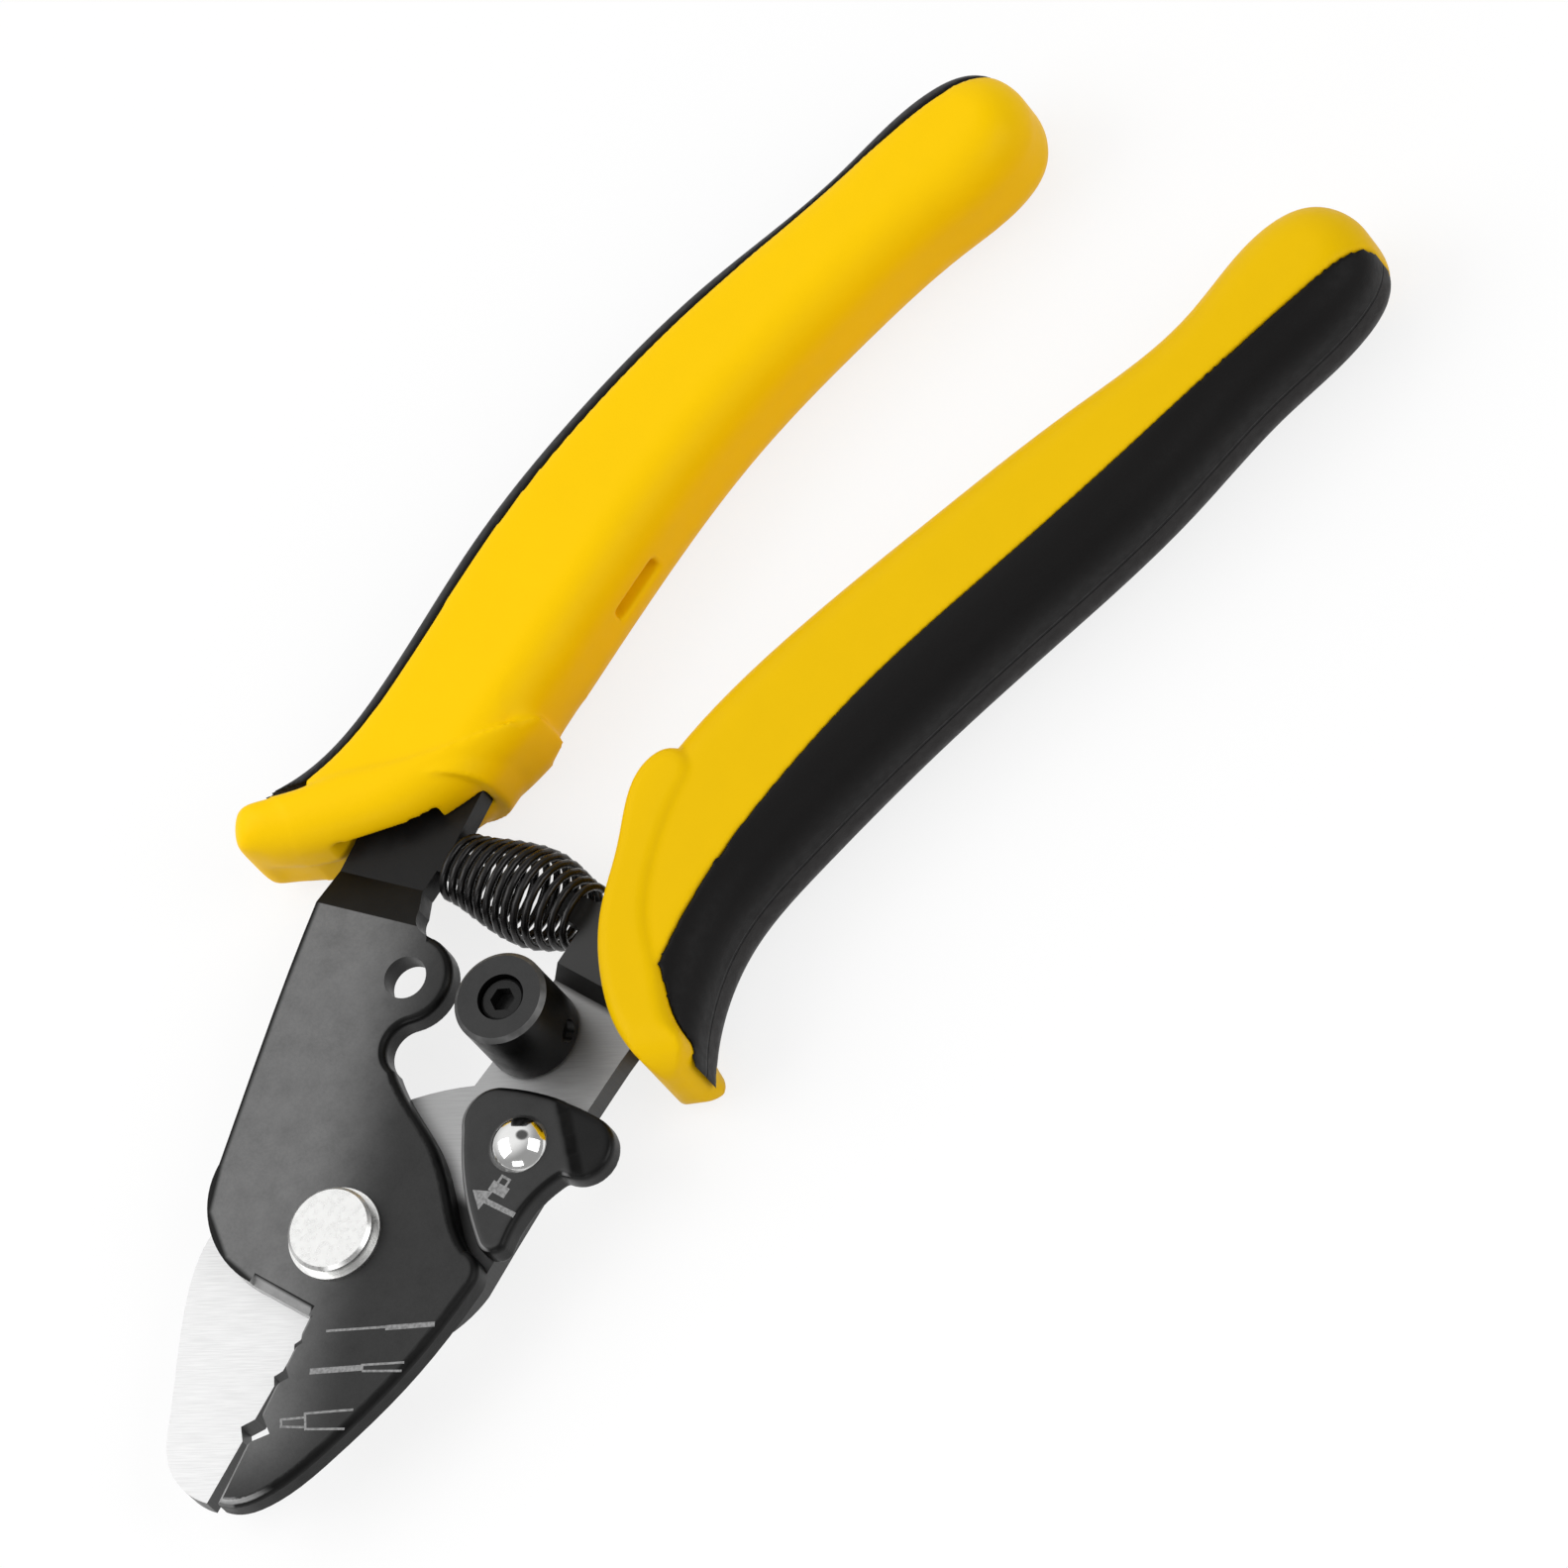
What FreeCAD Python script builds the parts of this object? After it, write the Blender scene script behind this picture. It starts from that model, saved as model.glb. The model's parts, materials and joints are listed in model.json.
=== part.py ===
import FreeCAD, Part
import Sketcher
import math
import os
import re
from FreeCAD import Vector

# Fibre stripper: crossed plate jaws with a sprung pivot, a thumb lock,
# an adjustable stop and two overmoulded grips. All sizes in millimetres.
# Every piece is drawn about the pivot axis, where the jaws shear: X towards the
# handles, Y towards the upper jaw's handle, Z up. The tool is drawn open, at rest.

# Driving sizes

SIZES = {
    # jaw plates
    "plate_thick": 2.8,
    "shear_gap": 0.06,
    "top_rounding": 0.9,
    "edge_bevel": 0.45,
    "step_bevel": 1.1,
    "upper_bend_start": 35.0,
    "upper_bend_run": 4.4,
    "upper_bend_tilt": 13.3,
    "lower_bend_start": 35.4,
    "lower_bend_run": 1.5,
    "ear_bore_r": 2.4,
    "ear_r": 5.2,
    "ear_x": 27.5,
    "ear_y": 10.6,
    # stripping notches, counted from the pivot
    "small_notch_at": 3.1,
    "small_notch_half": 1.0,
    "small_notch_deep": 0.8,
    "medium_notch_at": 7.1,
    "medium_notch_half": 1.3,
    "medium_notch_deep": 1.2,
    "large_notch_at": 13.4,
    "large_notch_half": 1.9,
    "large_notch_deep": 2.1,
    # pivot
    "pivot_shank_r": 3.0,
    "pivot_head_r": 4.75,
    "pivot_head_high": 1.5,
    "pivot_head_bevel": 0.35,
    "washer_r": 5.2,
    "washer_thick": 0.45,
    "nut_corner_r": 5.2,
    "nut_thick": 2.2,
    "running_gap": 0.04,
    "thread_gap": 0.02,
    "pivot_float": 0.02,
    # thumb lock
    "rivet_x": 17.7,
    "rivet_y": -12.8,
    "rivet_shank_r": 2.0,
    "rivet_dome_r": 3.3,
    "rivet_dome_high": 2.1,
    "rivet_foot_r": 3.2,
    "rivet_foot_high": 1.2,
    "spring_washer_thick": 0.3,
    "spring_washer_r": 3.8,
    "lever_thick": 3.0,
    "lever_float": 0.02,
    "lever_rounding": 0.7,
    # adjustable stop
    "stop_x": 29.3,
    "stop_y": -5.0,
    "stop_r": 5.2,
    "stop_high": 10.0,
    "stop_bevel": 0.5,
    "stop_offset": 0.2,
    "stop_lift": 0.05,
    "screw_shank_r": 1.5,
    "screw_head_r": 2.45,
    "screw_bevel": 0.3,
    "screw_head_high": 3.0,
    "screw_socket_r": 1.4,
    "screw_socket_deep": 1.6,
    "counterbore_r": 2.6,
    "counterbore_deep": 3.6,
    "set_screw_r": 1.25,
    "set_screw_long": 2.6,
    "set_screw_socket_r": 0.75,
    "set_screw_up": 2.6,
    "set_screw_turn": -72.0,
    # return spring
    "spring_wire_r": 0.38,
    "spring_end_r": 3.5,
    "spring_mid_r": 5.1,
    "spring_turns": 13.0,
    "spring_seat_gap": 0.45,
    "spring_x": 42.0,
    "spring_lean": 1.8,
    "upper_seat_y": 15.6,
    "lower_seat_y": -3.3,
    "nib_half": 1.7,
    "nib_long": 3.6,
    # grips
    "grip_half_thick": 7.0,
    "grip_rim_margin": 2.0,
    "guard_half_thick": 7.5,
    "guard_rounding": 1.6,
    "guard_lobe_r": 3.2,
    "guard_horn_rounding": 5.0,
    "guard_roll": 5.0,
    "upper_tip_r": 2.6,
    "upper_tip_x": 33.2,
    "upper_tip_y": 35.7,
    "upper_tip_heading": 135.0,
    "upper_lobe_x": 58.3,
    "upper_lobe_y": 11.3,
    "upper_lobe_heading": -10.0,
    "lower_tip_r": 2.6,
    "lower_tip_x": 33.6,
    "lower_tip_y": -22.3,
    "lower_tip_heading": -115.0,
    "lower_lobe_x": 59.2,
    "lower_lobe_y": -4.9,
    "lower_lobe_heading": -8.0,
    "tang_gap": 0.05,
    "tang_end_x": 80.0,
    "nose_r": 7.2,
    "upper_nose_x": 136.3,
    "upper_nose_y": 10.4,
    "upper_nose_heading": -18.0,
    "lower_nose_x": 139.8,
    "lower_nose_y": -34.3,
    "lower_nose_heading": -15.0,
    "pad_wall": 2.4,
    "pad_key_half_thick": 4.4,
    "mouth_half_thick": 3.6,
    "window_long": 7.2,
    "window_high": 2.2,
    "window_deep": 3.0,
    "window_x": 76.6,
    "upper_window_y": 15.0,
    "lower_window_y": -5.6,
    # place of the pivot in the part, worked out below
    "pivot_x": 0.0,
    "pivot_y": 0.0,
    "pivot_z": 0.0,
}

# Outlines of the free curves, as points of the curve in the plan view

UPPER_ROOT = (-8.7, -2.7)
UPPER_TIP = (-30.7, -6.0)
UPPER_BACK = [UPPER_TIP, (-30.0, -7.9), (-27.6, -10.2), (-20.0, -13.4), (-9.8, -16.0), (2.4, -17.2)]
UPPER_HEEL = [(2.4, -17.2), (4.6, -16.4), (5.4, -14.2)]
UPPER_THROAT = [(5.4, -14.2), (6.9, -11.6), (10.2, -8.0), (13.4, -3.8), (15.7, 1.0), (18.3, 5.6)]
UPPER_NECK = [(18.3, 5.6), (20.9, 8.2), (23.64, 7.12)]
UPPER_SHOULDER = [(33.1, 13.2), (34.6, 14.2)]
UPPER_TANG_INNER = [(34.6, 14.2), (36.6, 15.6)]
UPPER_TANG_OUTER = [(60.0, 28.4), (46.0, 27.6), (37.3, 26.1), (30.2, 25.2)]
UPPER_TANG_END = (20.2, 27.4)
UPPER_BROW = [(30.2, 25.2), (20.2, 22.7), (9.0, 19.5), (0.5, 17.0)]
UPPER_CHEEK = [(0.5, 17.0), (-4.6, 14.9), (-8.1, 9.9), (-8.8, 5.7)]

LOWER_ROOT = (-8.7, -1.6)
LOWER_TIP = (-30.9, -3.3)
LOWER_BACK = [LOWER_TIP, (-31.1, -1.2), (-29.6, 3.1), (-24.5, 6.7), (-18.2, 10.3), (-12.9, 13.0),
              (-8.4, 14.5), (-3.0, 14.2)]
LOWER_THROAT = [(-3.0, 14.2), (6.0, 10.8), (13.0, 6.6), (21.4, -2.3)]
LOWER_TANG_INNER = [(21.4, -2.3), (35.5, -3.3)]
LOWER_TANG_STEP = [(45.4, -4.4), (47.5, -9.0), (60.0, -9.8)]
LOWER_TANG_END = (-12.6, -21.2)
LOWER_TANG_OUTER = [(60.0, -18.8), (44.0, -16.4), (31.0, -15.7)]
LOWER_BELLY = [(31.0, -15.7), (15.0, -15.9), (3.0, -16.5)]
LOWER_CHEEK = [(3.0, -16.5), (-3.6, -14.4), (-7.8, -10.2), (-8.9, -6.4)]

LEVER_NOSE = [(6.4, -15.2), (6.1, -16.9), (7.6, -18.2)]
LEVER_BELLY = [(7.6, -18.2), (13.4, -17.9), (17.0, -19.2)]
LEVER_TAB = [(17.0, -19.2), (21.0, -22.7), (24.4, -19.2)]
LEVER_FRONT = [(24.4, -19.2), (24.0, -13.0), (22.2, -6.9)]
LEVER_CROWN = [(22.2, -6.9), (19.2, -4.8), (16.0, -5.9)]
LEVER_BACK = [(16.0, -5.9), (11.0, -9.8), (6.4, -15.2)]

UPPER_GRIP_INNER = [(50.0, 15.0), (62.0, 15.0), (80.0, 15.0), (97.0, 13.8), (113.0, 10.4), (126.0, 6.4)]
UPPER_GRIP_OUTER = [(126.0, 21.0), (109.0, 27.1), (92.0, 31.4), (72.0, 33.6), (54.0, 33.2), (43.0, 34.6),
                    (37.0, 38.2)]
UPPER_GUARD_FRONT = [(32.0, 31.6), (36.0, 25.0), (42.4, 17.6), (50.0, 12.6)]
UPPER_GUARD_CREASE = [(56.9, 15.4), (54.0, 17.4), (49.7, 21.6), (46.0, 25.8), (42.6, 29.9), (39.6, 32.4)]
UPPER_GUARD_ROLL = [(28.4, 38.4), (30.6, 34.6), (32.9, 30.8), (37.0, 25.5), (43.2, 19.6), (47.1, 17.3),
                    (54.2, 14.7), (59.0, 13.9), (66.0, 13.6)]
UPPER_MOUTH = [(24.0, 27.0), (40.5, 27.0), (47.4, 20.2), (47.4, 18.6), (24.0, 18.6)]
UPPER_LEDGE = [(24.0, 27.0), (36.4, 27.0), (34.0, 29.9), (31.9, 34.2), (24.0, 38.0)]
UPPER_PAD_LINE = [(146.0, 9.6), (139.0, 13.6), (122.0, 19.8), (105.0, 25.2), (88.0, 28.9), (70.0, 30.4),
                  (52.0, 30.2), (43.0, 31.6), (34.0, 37.0)]

LOWER_GRIP_INNER = [(52.0, -2.2), (62.0, -2.2), (80.0, -6.4), (97.0, -12.6), (115.0, -19.9), (129.0, -25.2)]
LOWER_GRIP_OUTER = [(126.0, -38.3), (112.0, -35.6), (94.0, -30.6), (76.0, -25.2), (60.0, -21.4),
                    (49.0, -20.0), (41.0, -21.7), (33.4, -26.2)]
LOWER_GUARD_FRONT = [(33.0, -16.6), (37.0, -11.6), (42.7, -7.4), (50.2, -4.4)]
LOWER_GUARD_CREASE = [(51.6, -9.8), (44.8, -13.4), (40.2, -18.2)]
LOWER_MOUTH = [(24.0, -2.0), (36.0, -2.0), (44.0, -5.2), (39.4, -16.8), (33.0, -18.0), (24.0, -18.0)]
LOWER_PAD_LINE = [(150.0, -40.6), (143.6, -39.2), (131.7, -35.6), (113.8, -30.4), (96.0, -24.9),
                  (78.0, -19.4), (62.0, -16.6), (48.0, -16.0), (38.0, -17.8), (28.0, -22.0)]

# Axis of the stop's screw, which stands off the middle of the stop

SCREW_X = "stop_x + stop_offset * cos(set_screw_turn * 1deg)"
SCREW_Y = "stop_y + stop_offset * sin(set_screw_turn * 1deg)"

# Farther than any edge of the tool, for cuts that go right through

DEEP = 60.0

document = FreeCAD.newDocument("FibreStripper")
sheet = document.addObject("Spreadsheet::Sheet", "Sizes")
for row, (alias, value) in enumerate(SIZES.items(), start=1):
    sheet.set(f"A{row}", alias)
    sheet.set(f"B{row}", str(value))
    sheet.setAlias(f"B{row}", alias)
document.recompute()

ALIAS = re.compile(r"\b(" + "|".join(SIZES) + r")\b")


def bound(text):
    """The same words as an expression that points at the sheet."""
    return ALIAS.sub(r"Sizes.\1", text)


def size(text):
    """Value of a sum of named sizes."""
    value = sheet.evalExpression(bound(text))
    return float(value.Value if hasattr(value, "Value") else value)


# Plan outlines and bent plate

def curve(points):
    """Smooth edge through the points."""
    spline = Part.BSplineCurve()
    spline.interpolate([Vector(x, y, 0) for x, y in points])
    return spline.toShape()


def bow(points):
    """Circular edge through three points."""
    return Part.Arc(*[Vector(x, y, 0) for x, y in points]).toShape()


def lines(points):
    """Straight edges from point to point."""
    ends = [Vector(x, y, 0) for x, y in points]
    return [Part.LineSegment(a, b).toShape() for a, b in zip(ends, ends[1:])]


def slab(edges, low, high):
    """Flat plate with the outline made of the edges."""
    face = Part.Face(Part.Wire(edges))
    face.translate(Vector(0, 0, low))
    return face.extrude(Vector(0, 0, high - low))


def cylinder(radius, low, high, x=0.0, y=0.0):
    return Part.makeCylinder(radius, high - low, Vector(x, y, low))


def along_edge(root, tip, way):
    """Unit vectors along a cutting edge from its root, and across it into the blade."""
    run = math.hypot(tip[0] - root[0], tip[1] - root[1])
    along = ((tip[0] - root[0]) / run, (tip[1] - root[1]) / run)
    return along, (-way * along[1], way * along[0])


def notches(root, tip, way, depth_share):
    """The V notches of one cutting edge, as upright prisms to cut out."""
    along, across = along_edge(root, tip, way)
    found = []
    for name in ("small", "medium", "large"):
        at, deep = size(f"{name}_notch_at"), size(f"{name}_notch_deep") * depth_share
        half = size(f"{name}_notch_half") * math.sqrt(depth_share)
        steps = [(at - half, -1), (at - half, 0), (at, deep), (at + half, 0), (at + half, -1)]
        corners = [(root[0] + along[0] * run + across[0] * depth,
                    root[1] + along[1] * run + across[1] * depth) for run, depth in steps]
        found.append(slab(lines(corners + corners[:1]), -DEEP, DEEP))
    return found


def bevel(first, last, way, wide, top):
    """Prism that bevels the upper edge of a straight side."""
    along, across = along_edge(first, last, way)
    corners = [(wide, 0), (0, -wide), (-wide, wide)]
    points = [Vector(first[0] + across[0] * inwards, first[1] + across[1] * inwards, top + up)
              for inwards, up in corners]
    run = Vector(last[0] - first[0], last[1] - first[1], 0)
    return Part.Face(Part.makePolygon(points + points[:1])).extrude(run)


def bent_plate(low, start, run, tilt):
    """Plate with a joggle from its own level to the middle level, bent along a tilted line."""
    thick = size("plate_thick")
    under = [(-DEEP, low), (start, low), (start + run, -thick / 2), (2 * DEEP, -thick / 2)]
    side = under + [(x, z + thick) for x, z in reversed(under)]
    points = [Vector(x, -DEEP, z) for x, z in side]
    plate = Part.Face(Part.makePolygon(points + points[:1])).extrude(Vector(0, 2 * DEEP, 0))
    plate.rotate(Vector(0, 0, 0), Vector(0, 0, 1), tilt)
    return plate


def edges_near(shape, height, keep):
    """Level edges at a height whose middle point passes the test."""
    found = []
    for edge in shape.Edges:
        box = edge.BoundBox
        middle = edge.valueAt((edge.FirstParameter + edge.LastParameter) / 2)
        if abs(box.ZMin - height) < 0.01 and abs(box.ZMax - height) < 0.01 and keep(middle):
            found.append(edge)
    return found


def nib(x, seat, way):
    """Corners of the tab that holds the spring's end."""
    half, tip = size("nib_half"), seat + way * size("nib_long")
    return [(x - half, seat), (x - half * 0.8, tip), (x + half * 0.8, tip), (x + half, seat)]


# Jaws

def upper_tang():
    """Edges of the upper tang, from the shoulder round its end to the brow."""
    tang_x = size("tang_end_x")
    tab = nib(size("spring_x - spring_lean / 2"), size("upper_seat_y"), -1)
    end = [(tang_x, y) for y in UPPER_TANG_END]
    return lines(UPPER_TANG_INNER + tab + end + UPPER_TANG_OUTER)


def lower_tang():
    """Edges of the lower tang, from the throat round its end to the belly."""
    tang_x = size("tang_end_x")
    tab = nib(size("spring_x + spring_lean / 2"), size("lower_seat_y"), 1)
    end = [(tang_x, y) for y in LOWER_TANG_END]
    return lines(LOWER_TANG_INNER + tab + LOWER_TANG_STEP + end + LOWER_TANG_OUTER)


def upper_jaw():
    low = size("shear_gap / 2")
    top = low + size("plate_thick")
    ear_x, ear_y, ear_r = size("ear_x"), size("ear_y"), size("ear_r")
    soft = [curve(UPPER_BACK), bow(UPPER_HEEL), curve(UPPER_THROAT), bow(UPPER_NECK),
            bow([UPPER_NECK[-1], (ear_x, ear_y - ear_r), (ear_x + ear_r, ear_y)]),
            bow([(ear_x + ear_r, ear_y)] + UPPER_SHOULDER)]
    edges = lines([UPPER_ROOT, UPPER_TIP]) + soft + upper_tang()
    edges += [curve(UPPER_BROW), curve(UPPER_CHEEK)] + lines([UPPER_CHEEK[-1], UPPER_ROOT])
    bend = (size("upper_bend_start"), size("upper_bend_run"), size("upper_bend_tilt"))
    jaw = bent_plate(low, *bend).common(slab(edges, -DEEP, DEEP))
    middles = [edge.valueAt((edge.FirstParameter + edge.LastParameter) / 2) for edge in soft[:5]]
    rims = edges_near(jaw, top, lambda p: any(math.hypot(p.x - m.x, p.y - m.y) < 0.05 for m in middles))
    jaw = jaw.makeFillet(size("top_rounding"), rims)
    cuts = notches(UPPER_ROOT, UPPER_TIP, 1, 1.0)
    cuts.append(bevel(UPPER_ROOT, UPPER_TIP, 1, size("edge_bevel"), top))
    cuts.append(bevel(UPPER_CHEEK[-1], UPPER_ROOT, 1, size("step_bevel"), top))
    cuts.append(cylinder(size("pivot_shank_r + running_gap"), -DEEP, DEEP))
    cuts.append(cylinder(size("ear_bore_r"), -DEEP, DEEP, ear_x, ear_y))
    return jaw.cut(cuts)


def lower_jaw():
    low = size("-shear_gap / 2 - plate_thick")
    edges = lines([LOWER_ROOT, LOWER_TIP]) + [curve(LOWER_BACK), curve(LOWER_THROAT)] + lower_tang()
    edges += [curve(LOWER_BELLY), curve(LOWER_CHEEK)] + lines([LOWER_CHEEK[-1], LOWER_ROOT])
    jaw = bent_plate(low, size("lower_bend_start"), size("lower_bend_run"), 0.0)
    jaw = jaw.common(slab(edges, -DEEP, DEEP))
    cuts = notches(LOWER_ROOT, LOWER_TIP, -1, 0.5)
    cuts.append(cylinder(size("pivot_shank_r + running_gap"), -DEEP, DEEP))
    cuts.append(cylinder(size("rivet_shank_r"), -DEEP, DEEP, size("rivet_x"), size("rivet_y")))
    cuts.append(cylinder(size("screw_shank_r"), -DEEP, DEEP, size(SCREW_X), size(SCREW_Y)))
    return jaw.cut(cuts)


# Return spring

def return_spring():
    """Barrel coil: a helix whose radius swells towards the middle."""
    inset, wire, turns = size("spring_seat_gap + spring_wire_r"), size("spring_wire_r"), size("spring_turns")
    end_r, mid_r = size("spring_end_r"), size("spring_mid_r")
    first = Vector(size("spring_x + spring_lean / 2"), size("lower_seat_y") + inset, 0)
    last = Vector(size("spring_x - spring_lean / 2"), size("upper_seat_y") - inset, 0)
    up = Vector(0, 0, 1)
    across = (last - first).cross(up).normalize()
    steps = int(turns * 8)
    points = []
    for step in range(steps + 1):
        share = step / steps
        radius = end_r + (mid_r - end_r) * math.sin(math.pi * share) ** 1.5
        turn = 2 * math.pi * turns * share
        points.append(first + (last - first) * share + across * (radius * math.cos(turn))
                      + up * (radius * math.sin(turn)))
    path = Part.BSplineCurve()
    path.interpolate(points)
    ring = Part.Wire(Part.Circle(points[0], path.tangent(path.FirstParameter)[0], wire).toShape())
    return Part.Wire(path.toShape()).makePipeShell([ring], True, True)


# Grips

def rounded_slab(edges, half_thick, rounding):
    """Plate with every rim edge rounded, top and bottom."""
    block = slab(edges, -half_thick, half_thick)
    rims = edges_near(block, half_thick, lambda p: True) + edges_near(block, -half_thick, lambda p: True)
    return block.makeFillet(rounding, rims)


def round_end(name, radius, way):
    """Points of the half circle that closes an outline; way is 1 for counter-clockwise."""
    x, y, heading = size(name + "_x"), size(name + "_y"), size(name + "_heading")
    turns = [math.radians(heading + way * turn) for turn in (-90, -45, 0, 45, 90)]
    return [(x + radius * math.cos(turn), y + radius * math.sin(turn)) for turn in turns]


def horn_bar(start, inwards, half_thick):
    """Bar with a blunt end, that rounds the guard's tip off between its two faces."""
    bar = Part.makeBox(DEEP, DEEP, 2 * half_thick, Vector(0, -DEEP / 2, -half_thick))
    ends = [edge for edge in bar.Edges if abs(edge.CenterOfMass.x) < 0.01 and edge.BoundBox.ZLength < 0.01]
    bar = bar.makeFillet(size("guard_horn_rounding"), ends)
    bar.rotate(Vector(), Vector(0, 0, 1), math.degrees(math.atan2(inwards.y, inwards.x)))
    bar.translate(start)
    return bar


def guard_collar(side, way, front, crease):
    """Finger guard: a raised band with round ends and rounded rims, thinner at its outer tip."""
    tip_r = size(side + "_tip_r")
    points = round_end(side + "_tip", tip_r, way) + front
    points += round_end(side + "_lobe", size("guard_lobe_r"), way) + crease
    spline = Part.BSplineCurve()
    spline.interpolate(Points=[Vector(x, y, 0) for x, y in points], PeriodicFlag=True)
    half_thick = size("guard_half_thick")
    collar = rounded_slab([spline.toShape()], half_thick, size("guard_rounding"))
    tip, lobe = [Vector(size(f"{side}_{end}_x"), size(f"{side}_{end}_y"), 0) for end in ("tip", "lobe")]
    inwards = (lobe - tip).normalize()
    return collar.common(horn_bar(tip - inwards * tip_r, inwards, half_thick))


def rolled_block(front):
    """Block behind a guard's front line, with its front rims rolled over broadly."""
    half_thick = size("guard_half_thick")
    first, last = front[0], front[-1]
    edges = [curve(front)] + lines([last, (last[0], DEEP), (first[0], DEEP), first])
    block = slab(edges, -half_thick, half_thick)
    rims = [edge for height in (half_thick, -half_thick) for edge in edges_near(block, height, lambda p: True)
            if edge.Curve.TypeId != "Part::GeomLine"]
    return block.makeFillet(size("guard_roll"), rims)


def grip_body(outline, half_thick):
    """Handle of one smooth outline, cut straight at the guard's end."""
    return slab([curve(outline)] + lines([outline[-1], outline[0]]), -half_thick, half_thick)


def rounded_grip_body(outline):
    """Handle whose smooth rims are rounded, top and bottom."""
    half_thick = size("grip_half_thick")
    block = grip_body(outline, half_thick)
    rims = [edge for height in (half_thick, -half_thick) for edge in edges_near(block, height, lambda p: True)
            if edge.Curve.TypeId != "Part::GeomLine"]
    return block.makeFillet(size("nose_r - grip_rim_margin"), rims)


def pad_zone(pad_line, side):
    """Everything on the outer side of the pad line."""
    first, last = pad_line[0], pad_line[-1]
    far = side * DEEP * 2
    edges = [curve(pad_line)] + lines([last, (last[0], far), (first[0], far), first])
    return slab(edges, -DEEP, DEEP)


def tang_pocket(tang):
    """Room for a jaw's tang: the tang's own edges, grown by the gap."""
    ends = [tang[-1].Vertexes[-1].Point, tang[0].Vertexes[0].Point]
    face = Part.Face(Part.Wire(tang + [Part.LineSegment(*ends).toShape()]))
    grown = face.makeOffset2D(size("tang_gap"), join=2)
    half_thick = size("plate_thick / 2 + tang_gap")
    grown.translate(Vector(0, 0, -half_thick))
    return grown.extrude(Vector(0, 0, 2 * half_thick))


def mouth(corners):
    """Wider room behind the guard for the jaw's joggle."""
    return slab(lines(corners + corners[:1]), -size("mouth_half_thick"), size("mouth_half_thick"))


def ledge(corners):
    """Lower half of a guard's front, set back a little from the plane where the mould parts."""
    return slab(lines(corners + corners[:1]), -DEEP, 0)


def window(name):
    """Square recess in the inner side of a grip."""
    long, deep, high = size("window_long"), size("window_deep"), size("window_high")
    corner = Vector(size("window_x") - long / 2, size(name + "_window_y") - deep, -high / 2)
    return Part.makeBox(long, 2 * deep, high, corner)


def grip(outline, collar, pad_line, side, rooms):
    """Hard core with its guard, and the soft pad keyed to the core's outer side."""
    body = rounded_grip_body(outline)
    zone = pad_zone(pad_line, side)
    shell = body.common(zone)
    key = grip_body(outline, size("pad_key_half_thick"))
    key.translate(Vector(0, -side * size("pad_wall"), 0))
    key = key.common(shell)
    pad = shell.cut(key).cut(collar)
    core = body.cut(zone).fuse(key).fuse(collar).cut(rooms)
    return core, max(pad.Solids, key=lambda solid: solid.Volume)


def upper_grip():
    outline = UPPER_GRIP_INNER + round_end("upper_nose", size("nose_r"), 1) + UPPER_GRIP_OUTER
    collar = guard_collar("upper", 1, UPPER_GUARD_FRONT, UPPER_GUARD_CREASE)
    collar = collar.common(rolled_block(UPPER_GUARD_ROLL))
    rooms = [tang_pocket(upper_tang()), mouth(UPPER_MOUTH), ledge(UPPER_LEDGE), window("upper")]
    return grip(outline, collar, UPPER_PAD_LINE, 1, rooms)


def lower_grip():
    outline = LOWER_GRIP_INNER + round_end("lower_nose", size("nose_r"), -1) + LOWER_GRIP_OUTER
    collar = guard_collar("lower", -1, LOWER_GUARD_FRONT, LOWER_GUARD_CREASE)
    rooms = [tang_pocket(lower_tang()), mouth(LOWER_MOUTH), window("lower")]
    return grip(outline, collar, LOWER_PAD_LINE, -1, rooms)


# Pieces made as bodies with sketches

def body_with(name):
    body = document.addObject("PartDesign::Body", name)
    body.Label = name
    return body


def plane_of(body, role):
    return next(item for item in body.Origin.OriginFeatures if item.Role == role)


def sketch_on(body, role, name):
    sketch = body.newObject("Sketcher::SketchObject", name)
    sketch.AttachmentSupport = [(plane_of(body, role), "")]
    sketch.MapMode = "FlatFace"
    return sketch


def half_section(body, corners, name):
    """Closed outline through corners given as words, to be turned about the upright axis."""
    sketch = sketch_on(body, "XZ_Plane", name)
    points = [Vector(size(x), size(z), 0) for x, z in corners]
    for index, (first, last) in enumerate(zip(points, points[1:] + points[:1])):
        sketch.addGeometry(Part.LineSegment(first, last), False)
        if index:
            sketch.addConstraint(Sketcher.Constraint("Coincident", index - 1, 2, index, 1))
    sketch.addConstraint(Sketcher.Constraint("Coincident", len(points) - 1, 2, 0, 1))
    for index, (x, z) in enumerate(corners):
        for kind, words, axis in (("DistanceX", x, -2), ("DistanceY", z, -1)):
            if abs(size(words)) < 1e-9:
                sketch.addConstraint(Sketcher.Constraint("PointOnObject", index, 1, axis))
                continue
            number = sketch.addConstraint(Sketcher.Constraint(kind, -1, 1, index, 1, size(words)))
            sketch.setExpression(f"Constraints[{number}]", bound(words))
    return sketch


def turned_body(name, corners):
    """Round piece: its half section swept once about the upright axis."""
    body = body_with(name)
    sketch = half_section(body, corners, name + "_section")
    turn = body.newObject("PartDesign::Revolution", name + "_turn")
    turn.Profile = sketch
    turn.ReferenceAxis = (sketch, ["V_Axis"])
    turn.Angle = 360
    document.recompute()
    return body


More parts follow.
